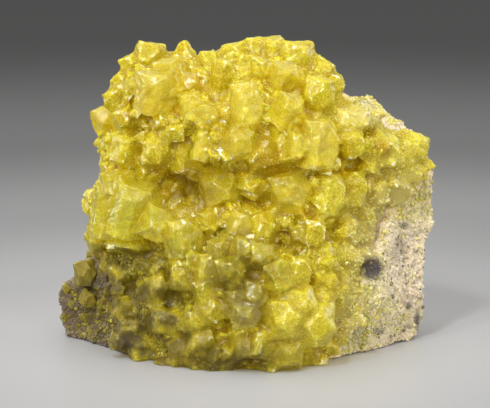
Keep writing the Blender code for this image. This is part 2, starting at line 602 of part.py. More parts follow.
def keep_largest(thing):
    """Drops the crumbs that a cut leaves beside the main body."""
    mesh = bmesh.new()
    mesh.from_mesh(thing.data)
    bodies = sorted(islands(mesh), key=len)
    crumbs = [vert for body in bodies[:-1] for vert in body]
    bmesh.ops.delete(mesh, geom=crumbs, context="VERTS")
    bmesh.ops.triangulate(mesh, faces=mesh.faces)
    mesh.to_mesh(thing.data)
    mesh.free()


def paint(thing, finish):
    colour, roughness = FINISHES[finish]
    material = bpy.data.materials.new(thing.name)
    material.use_nodes = True
    shader = material.node_tree.nodes["Principled BSDF"]
    shader.inputs["Base Color"].default_value = (*colour, 1)
    shader.inputs["Roughness"].default_value = roughness
    thing.data.materials.clear()
    thing.data.materials.append(material)


def clear_scene():
    for thing in list(bpy.data.objects):
        bpy.data.objects.remove(thing)


def build_rock():
    rock = rounded_form("matrix", ROCK_RADII, rock_depth, back_depth_of_rock)
    roughen(rock, ROCK_GRAIN)
    cut_flat(rock)
    paint(rock, "rock")
    return rock


def back_depth_of_rock(across, up):
    distance, angle = polar(across, up)
    share = edge_share(distance / soft_radius(ROCK_RADII, angle))
    return RIM_DEPTH + (back_depth(across, up) - RIM_DEPTH) * share


def back_depth_of_crust(across, up):
    """The crust's hidden side, inside the rock, rising to the edge that wraps over the top."""
    distance, angle = polar(across, up)
    rim = crust_rim(angle)
    inside = face_depth(across, up) + CRUST_THICK + CRUST_ROOT
    return rim + (inside - rim) * edge_share(distance / radius_at(CRUST_RADII, angle))


def grown_copy(thing, distance):
    """A helper with the object's own shape, moved out along its normals by the distance."""
    mesh = bmesh.new()
    mesh.from_mesh(thing.data)
    mesh.normal_update()
    shifts = [(vert, vert.normal * distance * vert.calc_shell_factor()) for vert in mesh.verts]
    for vert, shift in shifts:
        vert.co += shift
    grown = finish_mesh(thing.name + "_clearance", mesh)
    as_helper(grown)
    return grown


def build_druse(clearance, uneven):
    druse = rounded_form("sulfur_druse", CRUST_RADII, crust_depth, back_depth_of_crust)
    roughen(druse, CRUST_GRAIN)
    rows = CRYSTALS | fillers(uneven)
    crystals = [placed_crystal(name, row, crust_depth, uneven) for name, row in rows.items()]
    crystals += top_crystals(uneven)
    boolean(druse, "UNION", crystals)
    for helper in crystals:
        bpy.data.objects.remove(helper)
    boolean(druse, "DIFFERENCE", [clearance])
    cut_flat(druse)
    keep_largest(druse)
    paint(druse, "sulfur")
    return druse


def build_apron(clearance, uneven):
    for name, row in APRON_CRYSTALS.items():
        stone = placed_crystal(name, row, rock_depth, uneven)
        boolean(stone, "DIFFERENCE", [clearance])
        cut_flat(stone)
        keep_largest(stone)
        paint(stone, "dull_sulfur")


def stand_on_origin():
    """Moves every piece alike, so that the origin lies under the middle of the specimen."""
    for thing in bpy.data.objects:
        thing.data.transform(Matrix.Translation((*TO_ORIGIN, 0)))


def main():
    clear_scene()
    uneven = np.random.default_rng(SEED)
    rock = build_rock()
    clearance = grown_copy(rock, GAP)
    build_druse(clearance, uneven)
    build_apron(clearance, uneven)
    bpy.data.objects.remove(clearance)
    stand_on_origin()


main()
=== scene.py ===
# %% [markdown]
# # Native sulfur on its rock
#
# The real specimen is a hand-size lump of pale porous rock. Yellow sulfur crystals cover its front, top
# and left side, so tightly grown together that they melt into each other.
#
# A solid model of it already exists, with the rock, the fused growth and two crystals that stand alone.
# It could be painted as it is, but its faces are large and plain. So this script takes each solid's form
# and gives it a finer skin, and then grows the large, the middling and the tiny crystals on top.

from math import cos, pi, radians, sin

import bpy
import numpy as np
from mathutils import Matrix, Vector
from mathutils.bvhtree import BVHTree
from mathutils.kdtree import KDTree


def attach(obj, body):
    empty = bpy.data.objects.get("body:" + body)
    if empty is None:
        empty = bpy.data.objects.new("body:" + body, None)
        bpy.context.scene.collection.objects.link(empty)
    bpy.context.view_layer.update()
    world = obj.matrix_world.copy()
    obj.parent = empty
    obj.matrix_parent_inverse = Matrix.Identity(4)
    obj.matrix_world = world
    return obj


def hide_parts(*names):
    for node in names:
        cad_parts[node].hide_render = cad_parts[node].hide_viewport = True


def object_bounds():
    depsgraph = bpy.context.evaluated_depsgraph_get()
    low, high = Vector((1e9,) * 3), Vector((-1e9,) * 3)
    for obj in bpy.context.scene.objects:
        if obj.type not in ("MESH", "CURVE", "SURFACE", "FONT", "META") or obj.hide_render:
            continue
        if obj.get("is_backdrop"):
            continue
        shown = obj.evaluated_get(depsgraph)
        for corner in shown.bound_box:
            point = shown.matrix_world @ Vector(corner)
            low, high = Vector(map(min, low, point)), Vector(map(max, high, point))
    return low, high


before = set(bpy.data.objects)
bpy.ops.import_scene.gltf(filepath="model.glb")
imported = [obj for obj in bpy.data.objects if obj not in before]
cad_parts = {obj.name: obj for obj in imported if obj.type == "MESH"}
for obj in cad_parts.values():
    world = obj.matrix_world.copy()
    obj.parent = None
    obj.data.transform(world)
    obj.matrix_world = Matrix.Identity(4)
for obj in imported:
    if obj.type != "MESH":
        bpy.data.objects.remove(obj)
cad_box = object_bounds()
MM = 0.001
bpy.ops.object.select_all(action="DESELECT")
print("solids:", sorted(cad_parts))
print("their box in mm:", [[round(c / MM, 1) for c in corner] for corner in cad_box])

# %% [markdown]
# ## The layout sheet
#
# A crowd of crystals is easiest to place on a drawing. The drawing sheet leans back with the show face,
# and a crystal's column and row on it say where it sits. The depth then comes from the solid itself: a
# line is shot through the sheet, and where it meets the solid, the crystal stands.

# %% Turn a column and a row into a place
SHEET_STEP = 0.235 * MM
SHEET_LEAN = radians(12)
SHEET_MIDDLE = 247.5
SHEET_FLOOR = 343
SHEET_ORIGIN = Vector((0.4 * MM, 4.7 * MM, 0))
INTO_SHEET = Vector((0, cos(SHEET_LEAN), -sin(SHEET_LEAN)))


def on_sheet(column, row):
    """The point of the sheet at this column and row."""
    across = (column - SHEET_MIDDLE) * SHEET_STEP
    up = (SHEET_FLOOR - row) * SHEET_STEP
    return SHEET_ORIGIN + Vector((across, 0, up / cos(SHEET_LEAN)))


def sheet_places(points):
    """Columns and rows of an array of points."""
    columns = (points[:, 0] - SHEET_ORIGIN.x) / SHEET_STEP + SHEET_MIDDLE
    up = (points[:, 1] - SHEET_ORIGIN.y) * sin(SHEET_LEAN) + points[:, 2] * cos(SHEET_LEAN)
    return columns, SHEET_FLOOR - up / SHEET_STEP


# %% [markdown]
# ## Camera
#
# A long lens from far away keeps the crystals' proportions true. It looks 12 degrees down, at right angles
# to the sheet, and its focal length follows from how wide the sheet is.

# %% Place the camera
SHEET_WIDTH = 490
SHEET_CENTRE = (245, 204)
CAMERA_DISTANCE = 1.6
SENSOR_WIDTH = 36

bpy.ops.object.camera_add(
    location=on_sheet(*SHEET_CENTRE) - INTO_SHEET * CAMERA_DISTANCE,
    rotation=INTO_SHEET.to_track_quat("-Z", "Y").to_euler(),
)
camera = bpy.context.object
camera.data.sensor_width = SENSOR_WIDTH
camera.data.lens = SENSOR_WIDTH * CAMERA_DISTANCE / (SHEET_WIDTH * SHEET_STEP)
bpy.context.scene.camera = camera
print("lens:", round(camera.data.lens), "mm")

# %% [markdown]
# ## Node helpers
#
# Every material below is a small tree of shader nodes. Short helpers keep those trees readable: one adds a
# node with its settings, another feeds an input with a number, a colour or another node's output.

# %% Write the node helpers


def feed(tree, socket, value):
    """Gives an input a plain value, or links it to an output."""
    if isinstance(value, bpy.types.NodeSocket):
        tree.links.new(value, socket)
    else:
        socket.default_value = value


def add_node(tree, kind, inputs=None, **settings):
    """A new node with these settings and inputs."""
    made = tree.nodes.new(kind)
    for name, value in settings.items():
        setattr(made, name, value)
    for name, value in (inputs or {}).items():
        feed(tree, made.inputs[name], value)
    return made


def object_place(tree):
    """The place of each shaded point on the piece, in metres."""
    return add_node(tree, "ShaderNodeTexCoord").outputs["Object"]


def read_attribute(tree, name):
    """A value that is stored on the mesh."""
    return add_node(tree, "ShaderNodeAttribute", attribute_name=name).outputs["Fac"]


def calculate(tree, operation, first, second=0.0, clamp=False):
    """First and second put together. Clamping keeps the result between 0 and 1."""
    made = add_node(tree, "ShaderNodeMath", {0: first, 1: second}, operation=operation, use_clamp=clamp)
    return made.outputs[0]


def blend_colours(tree, share, first, second):
    """The first colour where the share is 0, and the second where it is 1."""
    made = add_node(tree, "ShaderNodeMix", data_type="RGBA", clamp_factor=True)
    feed(tree, made.inputs[0], share)
    feed(tree, made.inputs[6], first)
    feed(tree, made.inputs[7], second)
    return made.outputs[2]


def stretch(tree, value, low, high):
    """0 where the value is low, 1 where it is high, and straight between."""
    made = add_node(tree, "ShaderNodeMapRange", {"Value": value, "From Min": low, "From Max": high})
    return made.outputs["Result"]


def cloud(tree, scale, detail=3.0, roughness=0.55, warp=0.0):
    """Soft noise between 0 and 1. The scale is how many clouds lie along a metre."""
    made = add_node(tree, "ShaderNodeTexNoise", {
        "Vector": object_place(tree), "Scale": scale, "Detail": detail, "Roughness": roughness,
        "Distortion": warp,
    })
    return made.outputs["Fac"]


def new_material(name):
    """A material with an empty Principled surface, and its tree and surface."""
    made = bpy.data.materials.new(name)
    made.use_nodes = True
    tree = made.node_tree
    return made, tree, tree.nodes["Principled BSDF"]


# %% [markdown]
# ## Shared effects
#
# Several finishes need the same effects: a fine relief, flecks of another colour, and the way sulfur
# changes its tint from place to place. Each is built once as a node group with named inputs, like a small
# machine with dials, and every material places it with its own settings. Copying the nodes into each
# material would work too, but then a change would have to be made many times.

# %% Build the fine relief and the flecks
NUMBER = "NodeSocketFloat"
COLOUR = "NodeSocketColor"
FINER = 3.4                  # how many times smaller the fine grain is than the coarse one


def start_group(name, inputs, outputs):
    """An empty node group with these sockets, and the sockets of its two ends."""
    group = bpy.data.node_groups.new(name, "ShaderNodeTree")
    for label, kind in inputs.items():
        group.interface.new_socket(label, in_out="INPUT", socket_type=kind)
    for label, kind in outputs.items():
        group.interface.new_socket(label, in_out="OUTPUT", socket_type=kind)
    return group, group.nodes.new("NodeGroupInput").outputs, group.nodes.new("NodeGroupOutput").inputs


def place_group(tree, group, inputs):
    """The group placed in a tree with its dials set, as its outputs."""
    made = tree.nodes.new("ShaderNodeGroup")
    made.node_tree = group
    for label, value in inputs.items():
        feed(tree, made.inputs[label], value)
    return made.outputs


fine_relief, dials, results = start_group(
    "fine_relief", {"Scale": NUMBER, "Fine Share": NUMBER}, {"Height": NUMBER}
)
fine_scale = calculate(fine_relief, "MULTIPLY", dials["Scale"], FINER)
fine = calculate(fine_relief, "MULTIPLY", cloud(fine_relief, fine_scale, 2), dials["Fine Share"])
coarse = cloud(fine_relief, dials["Scale"], 2)
feed(fine_relief, results["Height"], calculate(fine_relief, "ADD", coarse, fine))

flecks, dials, results = start_group(
    "flecks",
    {
        "Colour": COLOUR, "Fleck Colour": COLOUR, "Scale": NUMBER, "From": NUMBER, "To": NUMBER,
        "Share": NUMBER,
    },
    {"Colour": COLOUR},
)
fleck = stretch(flecks, cloud(flecks, dials["Scale"], 3, 0.65), dials["From"], dials["To"])
share = calculate(flecks, "MULTIPLY", fleck, dials["Share"], True)
feed(flecks, results["Colour"], blend_colours(flecks, share, dials["Colour"], dials["Fleck Colour"]))

# %% [markdown]
# Sulfur is lemon yellow, but nowhere the same. It is amber in broad clouds, and painted amber shade darkens
# its seams, the roots of its crystals and its hollows. It is pale where fine cracks and bubbles veil it,
# with painted highlight along its edges, on some faces that catch the light and as glints, and it is
# greenish, dull or sandy in some places, where the dull patches also paint shade low on the front. Dark
# spots and painted shade in a crevice and under the foot come last. The group reads those places from values
# that are stored on the meshes further down.
#
# The patterns are clouds of several sizes and two nets of cracks. Small helpers that belong to this one
# group keep its recipe short.

# %% Start the sulfur tint
# Painted glints: a pale colour in spots along the crystals' edges
PAINTED_GLINT = (1.0, 0.97, 0.66, 1)
# Dark spots, and painted shade in a crevice and under the foot
DARK_SPOT_AND_SHADE = (0.13, 0.11, 0.10, 1)
# How many of each pattern lie along a metre
BROAD_CLOUDS = 140
BLOTCHES = 620
STREAKS = 900
SPECKLE = 2600
VEIL_CRACKS = 420
DEEP_CRACKS = 260
PATCH_TATTERS = 260
GLINT_SPOTS = 480

sulfur_tint, dials, results = start_group(
    "sulfur_tint",
    {
        "Lemon": COLOUR, "Amber": COLOUR, "Veil And Highlight": COLOUR, "Green": COLOUR, "Dull": COLOUR,
        "Sandy": COLOUR, "Veil Share": NUMBER, "Edge Highlight Share": NUMBER, "Roughness": NUMBER,
    },
    {"Colour": COLOUR, "Roughness": NUMBER},
)


def stored(name):
    return read_attribute(sulfur_tint, name)


def band(value, low, high):
    return stretch(sulfur_tint, value, low, high)


def times(value, factor):
    return calculate(sulfur_tint, "MULTIPLY", value, factor)


def plus(value, more):
    return calculate(sulfur_tint, "ADD", value, more, clamp=True)


def larger(first, second):
    return calculate(sulfur_tint, "MAXIMUM", first, second)


def rest_of(share):
    return calculate(sulfur_tint, "SUBTRACT", 1.0, share, clamp=True)


def lay_over(colour, share, over):
    return blend_colours(sulfur_tint, share, colour, over)


# %% Write its patches and cracks


def patch(finish):
    """A finish's patches, with a ragged outline."""
    tatters = band(cloud(sulfur_tint, PATCH_TATTERS), 0.25, 0.55)
    return calculate(sulfur_tint, "MULTIPLY", stored(finish), tatters, clamp=True)


def cracks(scale, width):
    """1 along the cracks of a warped net, patchily, 0 between them."""
    place = object_place(sulfur_tint)
    warp = add_node(sulfur_tint, "ShaderNodeTexNoise", {"Vector": place, "Scale": scale * 1.5})
    warped = add_node(
        sulfur_tint, "ShaderNodeVectorMath", {0: warp.outputs["Color"], 1: (1 / scale,) * 3, 2: place},
        operation="MULTIPLY_ADD",
    ).outputs["Vector"]
    net = add_node(
        sulfur_tint, "ShaderNodeTexVoronoi", {"Vector": warped, "Scale": scale}, feature="DISTANCE_TO_EDGE"
    ).outputs["Distance"]
    where = band(cloud(sulfur_tint, scale * 0.9), 0.42, 0.58)
    return times(band(net, width, width / 4), where)


# %% Lay its colours over each other
broad = band(cloud(sulfur_tint, BROAD_CLOUDS, warp=0.6), 0.42, 0.66)
blotches = band(cloud(sulfur_tint, BLOTCHES, 3, 0.6, 1.5), 0.45, 0.68)
amber_share = plus(larger(times(broad, 0.4), times(blotches, 0.5)), times(stored("tone"), 0.2))
colour = lay_over(dials["Lemon"], amber_share, dials["Amber"])
colour = lay_over(colour, patch("green"), dials["Green"])

streaks = band(cloud(sulfur_tint, STREAKS, 4, 0.65, 1.5), 0.48, 0.72)
# Veils, and pale patches that are partly painted highlight on faces that catch the light
veil = times(larger(streaks, cracks(VEIL_CRACKS, 0.07)), dials["Veil Share"])
colour = lay_over(colour, plus(veil, times(patch("pale"), 0.6)), dials["Veil And Highlight"])
# Painted highlight: the pale colour along every edge
edge = times(band(stored("edge"), 0.3, 1.3), dials["Edge Highlight Share"])
colour = lay_over(colour, edge, dials["Veil And Highlight"])

# Painted shade: amber in the seams, at the crystals' roots and in the amber hollows, with dark cracks
deep = larger(band(stored("seam"), 0.15, -0.6), times(cracks(DEEP_CRACKS, 0.12), 0.4))
colour = lay_over(colour, larger(deep, patch("amber")), dials["Amber"])
speckle = cloud(sulfur_tint, SPECKLE, 2, 0.6)
colour = lay_over(colour, times(band(speckle, 0.5, 0.3), 0.58), dials["Veil And Highlight"])
colour = lay_over(colour, times(band(speckle, 0.5, 0.7), 0.68), dials["Amber"])
colour = lay_over(colour, patch("sandy"), dials["Sandy"])

# The dull patches: dull, dirty sulfur, and painted shade low on the front
dull = patch("dull")
still_yellow = times(larger(stored("tone"), streaks), 0.18)
colour = lay_over(colour, times(dull, rest_of(still_yellow)), dials["Dull"])
# Painted glints on the edges, away from the dull patches
spots = band(cloud(sulfur_tint, GLINT_SPOTS, 2, 0.5, 1.2), 0.58, 0.64)
painted_glints = times(times(spots, band(stored("edge"), 0.2, 0.9)), rest_of(dull))
colour = lay_over(colour, painted_glints, PAINTED_GLINT)
# Last, dark spots and painted shade in a crevice and under the foot
feed(sulfur_tint, results["Colour"], lay_over(colour, stored("dark"), DARK_SPOT_AND_SHADE))

rough = calculate(sulfur_tint, "ADD", dials["Roughness"], times(dull, 0.3))
feed(sulfur_tint, results["Roughness"], calculate(sulfur_tint, "ADD", rough, times(streaks, 0.08)))
print("node groups:", [group.name for group in bpy.data.node_groups])

# %% [markdown]
# ## Floor and light
#
# The specimen rests on a wide pale board. Its colour darkens away from the middle, a painted pool of light,
# which gives a calm backdrop from every side without a wall behind the crystals. A disc does it: the camera
# looks down, so the board fills the whole frame.

# %% Lay the floor
FLOOR_RADIUS = 1.5
FLOOR_DROP = 0.02 * MM
# Painted pool of light: the board's grey is lightest in the middle and darker further out
FLOOR_LIGHT_POOL = (
    # distance from the middle in metres, grey
    (0.04, 0.44), (0.09, 0.36), (0.16, 0.25), (0.25, 0.13), (0.40, 0.032), (0.60, 0.024),
)

bpy.ops.mesh.primitive_circle_add(
    vertices=96, radius=FLOOR_RADIUS, fill_type="NGON", location=(0, 0, -FLOOR_DROP)
)
floor = bpy.context.object
floor.name = "floor"
board_with_painted_light, tree, surface = new_material("board_with_painted_light")
reach = add_node(tree, "ShaderNodeVectorMath", {0: object_place(tree)}, operation="LENGTH").outputs["Value"]
tones = add_node(tree, "ShaderNodeValToRGB", {"Fac": reach})
tones.color_ramp.interpolation = "EASE"
while len(tones.color_ramp.elements) < len(FLOOR_LIGHT_POOL):
    tones.color_ramp.elements.new(0.5)
for stop, (distance, grey) in zip(tones.color_ramp.elements, FLOOR_LIGHT_POOL):
    stop.position = distance
    stop.color = (grey, grey, grey * 1.01, 1)
feed(tree, surface.inputs["Base Color"], tones.outputs["Color"])
surface.inputs["Roughness"].default_value = 0.35
surface.inputs["Specular IOR Level"].default_value = 0.12
floor.data.materials.append(board_with_painted_light)
floor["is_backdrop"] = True

# %% [markdown]
# Crystals live by light from several sides. Two soft sheets, overhead and behind, give every ridge its pale
# rim. Soft windows at the sides and a wide sheet in front shape the faces, two small sheets low at the sides
# draw the outline, and three small strong lamps make the glints. The soft sheets are large, because a small
# one of the same strength would lie as a white patch on every flat face. The world adds an even glow, so
# that no seam goes black.

# %% Hang the lights
AIM = Vector((0, 0, 32 * MM))
GLOW_COLOUR = (1.0, 0.99, 0.97, 1)
GLOW_STRENGTH = 0.32
LIGHTS = {
    # name: (place in metres, size in metres, strength in watts, colour)
    "sky_behind": ((0.05, 0.42, 0.60), 0.80, 1.4, (1.0, 0.99, 0.97)),
    "overhead": ((-0.05, -0.22, 0.80), 0.80, 1.9, (1.0, 0.99, 0.97)),
    "window_left": ((-0.50, -0.55, 0.75), 0.80, 2.0, (1.0, 0.99, 0.98)),
    "window_right": ((0.70, -0.50, 0.45), 0.80, 1.8, (1.0, 0.98, 0.96)),
    "front": ((0.0, -1.15, 0.45), 1.80, 4.5, (1.0, 0.99, 0.98)),
    "edge_left": ((-0.60, 0.20, 0.15), 0.30, 1.2, (1.0, 1.0, 1.0)),
    "edge_right": ((0.60, 0.25, 0.20), 0.30, 1.2, (1.0, 1.0, 1.0)),
    "glint_high": ((-0.16, -0.52, 0.62), 0.08, 2.6, (1.0, 1.0, 1.0)),
    "glint_left": ((-0.38, -0.55, 0.40), 0.08, 1.6, (1.0, 1.0, 1.0)),
    "glint_low": ((0.25, -0.70, 0.30), 0.08, 0.8, (1.0, 1.0, 1.0)),
}
for name, (place, size, watts, colour) in LIGHTS.items():
    bpy.ops.object.light_add(
        type="AREA", location=place, rotation=(AIM - Vector(place)).to_track_quat("-Z", "Y").to_euler()
    )
    lamp = bpy.context.object
    lamp.name = name
    lamp.data.size = size
    lamp.data.energy = watts
    lamp.data.color = colour

world = bpy.data.worlds.new("studio")
world.use_nodes = True
world.node_tree.nodes["Background"].inputs["Color"].default_value = GLOW_COLOUR
world.node_tree.nodes["Background"].inputs["Strength"].default_value = GLOW_STRENGTH
bpy.context.scene.world = world
bpy.context.scene.view_settings.view_transform = "Standard"
print("lights:", len(LIGHTS))

# %% [markdown]
# ## Where each finish shows
#
# The growth isn't one yellow. Hollows get painted amber shade, some faces are veiled and pale and partly
# painted highlight where they catch the light, the left is greenish and clear, the lower left is dull and
# dirty, and towards the bare rock it turns sandy. The dull patches also paint shade low on the front. The
# rock is dusted with sulfur near the growth, purple at its left tip, and has a few dark inclusions, and the
# dark patches also paint shade in a crevice and under the foot. Each of these finishes is a list of soft
# patches on the sheet. A point keeps the strongest patch that covers it, stored on the mesh, and the
# materials read it back. The patches belong to the front, so they fade out towards the back.

# %% List the patches
PATCH_RIM = 1.5              # where a patch ends, in its reaches
FADE_END = 31 * MM           # how far back the last of a patch is seen
FADE_LENGTH = 12 * MM
PATCHES = {
    # name: column, row, reach across, reach up, strength
    # Painted shade: amber in the hollows and the gaps between crystals
    "amber": {
        "great_hollow": (190, 190, 34, 26, 1.0),
        "throat": (285, 240, 16, 14, 0.8),
        "gap_under_middle": (254, 272, 10, 14, 0.8),
        "shoulder_dent": (380, 150, 12, 10, 1.0),
        "upper_left_flank": (140, 118, 26, 16, 0.6),
        "under_the_crown": (222, 120, 16, 40, 0.5),
        "left_of_prism": (150, 165, 30, 12, 0.6),
        "upper_hollow": (190, 84, 20, 14, 0.6),
        "behind_pale_stub": (270, 160, 18, 20, 1.0),
        "under_curved": (300, 216, 22, 8, 0.5),
        "under_hollow": (205, 236, 18, 10, 0.5),
        "crown_right": (285, 75, 30, 14, 0.25),
        "pit_lower_left": (172, 308, 8, 6, 1.0),
        "between_crystals": (262, 205, 14, 22, 0.6),
        "under_pentagon": (242, 172, 24, 7, 0.6),
        "right_of_tall_block": (343, 160, 10, 24, 0.6),
        "above_gem": (118, 172, 22, 10, 0.5),
        "under_second_peak": (186, 76, 9, 14, 0.6),
    },
    # Veiled pale crystals, partly painted highlight on faces that catch the light
    "pale": {
        "pale_column": (248, 100, 14, 24, 0.8),
        "great_block_right_face": (168, 96, 8, 16, 0.6),
        "gem_veil": (138, 196, 22, 8, 0.6),
        "tall_block": (318, 150, 20, 28, 0.7),
        "crown": (268, 58, 70, 20, 0.4),
        "curved": (300, 205, 20, 20, 0.35),
        "pale_pillar": (328, 192, 16, 28, 1.0),
        "clear_pair": (198, 112, 18, 14, 0.6),
        "pale_cluster": (243, 232, 24, 18, 0.5),
        "split_blocks": (292, 275, 22, 14, 0.4),
        "grey_crystal": (208, 268, 14, 14, 0.5),
        "lemon_belly": (298, 318, 34, 26, 0.6),
        "shoulder_top": (402, 142, 42, 32, 0.9),
        "upper_right_ledge": (362, 112, 36, 18, 0.9),
    },
    "green": {
        "gem_mass": (130, 212, 42, 30, 1.0),
        "greenish_group": (184, 240, 24, 24, 0.8),
        "middle_crystal": (222, 190, 16, 18, 0.5),
        "olive_patch": (403, 182, 18, 12, 0.7),
        "bright_stub": (225, 262, 20, 16, 0.5),
    },
    # Dull, dirty crust, and painted shade low on the front
    "dull": {
        "great_hollow": (190, 192, 26, 18, 0.4),
        "apron": (98, 306, 56, 56, 1.0),
        "under_gem": (138, 256, 50, 13, 0.9),
        "apron_front": (150, 344, 64, 30, 1.0),
        "grey_patch": (138, 268, 24, 12, 0.9),
        "grey_middle": (205, 285, 22, 18, 0.5),
        "smoky_cluster": (246, 308, 24, 22, 0.85),
        "foot": (205, 358, 84, 22, 1.0),
        "low_left_crust": (150, 308, 48, 44, 1.0),
        "centre_low": (240, 280, 40, 34, 0.8),
        "centre": (228, 246, 30, 18, 0.6),
        "throat_dirt": (290, 245, 18, 16, 0.3),
    },
    "sandy": {
        "right_flank": (404, 270, 46, 84, 1.0),
        "upper_right_ledge": (372, 110, 26, 14, 0.8),
        "right_shoulder_foot": (430, 210, 20, 30, 0.6),
        "right_of_belly": (352, 325, 16, 34, 0.7),
        "right_of_pillar": (368, 222, 20, 16, 0.5),
    },
    "dusted": {
        "beside_the_growth": (352, 270, 26, 90, 1.0),
        "upper_right_ledge": (372, 110, 30, 18, 0.8),
        "under_shoulder": (405, 200, 34, 24, 0.7),
        "lower_right": (385, 315, 24, 20, 0.35),
        "top": (250, 60, 120, 20, 0.6),
        "apron": (104, 318, 40, 34, 0.55),
    },
    "purple": {"left_tip": (62, 318, 14, 28, 0.8), "left_foot": (82, 344, 26, 8, 0.8)},
    # Dark inclusions, and painted shade in a crevice and under the foot
    "dark": {
        "nodule": (371, 268, 9.5, 10, 1.5),
        "spot_high": (405, 225, 5, 4, 0.6),
        "spot_right": (408, 305, 4, 3, 0.6),
        "spot_low_right": (410, 327, 4, 3, 0.6),
        "spot_low": (378, 331, 6, 3, 0.7),
        "streak": (418, 321, 3, 9, 0.9),
        "grey_band": (398, 248, 8, 14, 0.3),
        "crevice": (100, 284, 10, 4, 0.6),
        "foot_shadow": (118, 340, 20, 8, 0.3),
    },
}


def patch_share(columns, rows, finish):
    """How strongly a finish's patches cover these places."""
    strongest = np.zeros(len(columns))
    for column, row, reach_across, reach_up, strength in PATCHES[finish].values():
        apart = np.hypot((columns - column) / reach_across, (rows - row) / reach_up)
        strongest = np.maximum(strongest, strength * np.clip(PATCH_RIM - apart, 0, 1))
    return strongest


def put_values(mesh, name, values):
    """Stores one value for each of the mesh's points."""
    made = mesh.attributes.get(name) or mesh.attributes.new(name, "FLOAT", "POINT")
    made.data.foreach_set("value", np.asarray(values, np.float32))


def paint_patches(mesh, points):
    """Stores each finish on the mesh as its own attribute, from these points."""
    columns, rows = sheet_places(points)
    front = np.clip((FADE_END - points[:, 1]) / FADE_LENGTH, 0, 1)
    for finish in PATCHES:
        put_values(mesh, finish, patch_share(columns, rows, finish) * front)


print("patches:", {finish: len(patches) for finish, patches in PATCHES.items()})


# %% [markdown]
# ## Reading a surface's own relief
#
# Light gathers in the edges of a clear crystal and is lost in the seams between crystals. To paint that,
# each point needs to know whether it lies on an edge or in a seam. Averaging every point with its
# neighbours again and again flattens the relief, and how far a point then lies outside the flattened
# surface is its height: above zero on an edge, below zero in a seam.

# %% Measure edges and seams
FULL_EDGE = 0.05 * MM        # how high an edge of the growth counts as 1
FULL_SEAM = 0.8 * MM         # how deep a seam of the growth counts as -1


def mesh_points(mesh):
    """The mesh's points as rows of x, y and z."""
    points = np.empty(len(mesh.vertices) * 3)
    mesh.vertices.foreach_get("co", points)
    return points.reshape(-1, 3)


def mesh_normals(mesh):
    """The outward directions at the mesh's points."""
    normals = np.empty(len(mesh.vertices) * 3)
    mesh.vertices.foreach_get("normal", normals)
    return normals.reshape(-1, 3)


def relief(mesh, rounds):
    """Height of each point over its surroundings, in metres. More rounds look further."""
    ends = np.empty(len(mesh.edges) * 2, np.int64)
    mesh.edges.foreach_get("vertices", ends)
    first, second = ends.reshape(-1, 2).T
    count = np.bincount(ends, minlength=len(mesh.vertices))
    start = mesh_points(mesh)
    flattened = start.copy()
    for _ in range(rounds):
        for axis in range(3):
            held = flattened[:, axis]
            total = np.bincount(first, held[second], len(held))
            total += np.bincount(second, held[first], len(held))
            flattened[:, axis] = 0.5 * held + 0.5 * total / np.maximum(count, 1)
    return ((start - flattened) * mesh_normals(mesh)).sum(axis=1)


# %% [markdown]
# ## Skins
#
# A skin starts as a copy of a solid. Its loose triangles are merged, a voxel remesh lays an even fine net
# over it, and displacement pushes that net about. A sculptor would do it by hand; noise does it the same
# way each time.

# %% Write the skin helpers


def use_modifier(piece, kind, **settings):
    """Adds a modifier, sets it and applies it."""
    bpy.context.view_layer.objects.active = piece
    made = piece.modifiers.new(kind.lower(), kind)
    for name, value in settings.items():
        setattr(made, name, value)
    bpy.ops.object.modifier_apply(modifier=made.name)


def copy_of_solid(node, name):
    """A new object with a merged copy of a solid's mesh."""
    bpy.ops.object.select_all(action="DESELECT")
    piece = bpy.data.objects.new(name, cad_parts[node].data.copy())
    piece.data.materials.clear()
    bpy.context.collection.objects.link(piece)
    bpy.context.view_layer.objects.active = piece
    piece.select_set(True)
    bpy.ops.object.mode_set(mode="EDIT")
    bpy.ops.mesh.select_all(action="SELECT")
    bpy.ops.mesh.remove_doubles(threshold=0.001 * MM)
    bpy.ops.object.mode_set(mode="OBJECT")
    return piece


def push_about(piece, kind, size, strength, middle=0.5, **settings):
    """Displaces a piece along its normals by a noise of this size."""
    texture = bpy.data.textures.new(f"{piece.name}_{kind.lower()}", kind)
    texture.noise_scale = size
    for name, value in settings.items():
        setattr(texture, name, value)
    use_modifier(
        piece, "DISPLACE", texture=texture, texture_coords="LOCAL", strength=strength, mid_level=middle
    )


def keep_above_floor(mesh):
    """Lifts every point that has sunk through the floor."""
    points = mesh_points(mesh)
    points[:, 2] = np.maximum(points[:, 2], 0)
    mesh.vertices.foreach_set("co", points.ravel())
    mesh.update()


def triangles(piece):
    return sum(len(face.vertices) - 2 for face in piece.data.polygons)


def search_tree(node):
    """A solid's faces, ready for finding the nearest one or the one that a line meets."""
    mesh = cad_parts[node].data
    corners = [corner.co for corner in mesh.vertices]
    return BVHTree.FromPolygons(corners, [face.vertices for face in mesh.polygons])


def near(points, tree, reach):
    """1 for each point that has one of the tree's faces within reach, else 0."""
    return np.array([tree.find_nearest(point, reach)[0] is not None for point in points], float)


bpy.context.view_layer.update()
druse_faces = search_tree("sulfur_druse")
rock_faces = search_tree("matrix")


# %% [markdown]
# ## The rock
#
# The rock is a porous crust of cemented grains, with coarse lumps, small pits and no clean faces. Four
# sizes of noise are stacked on its skin: soft lumps, knots, coarse grains and fine grains. The skin also
# learns which of its points lie bare, because nothing is planted where the growth covers the rock.

# %% Make the rock's skin
ROCK_NET = 0.55 * MM
COVER_REACH = 1.0 * MM       # rock this near to the growth counts as covered
ROCK_EDGE = 0.1 * MM
ROCK_SEAM = 0.6 * MM

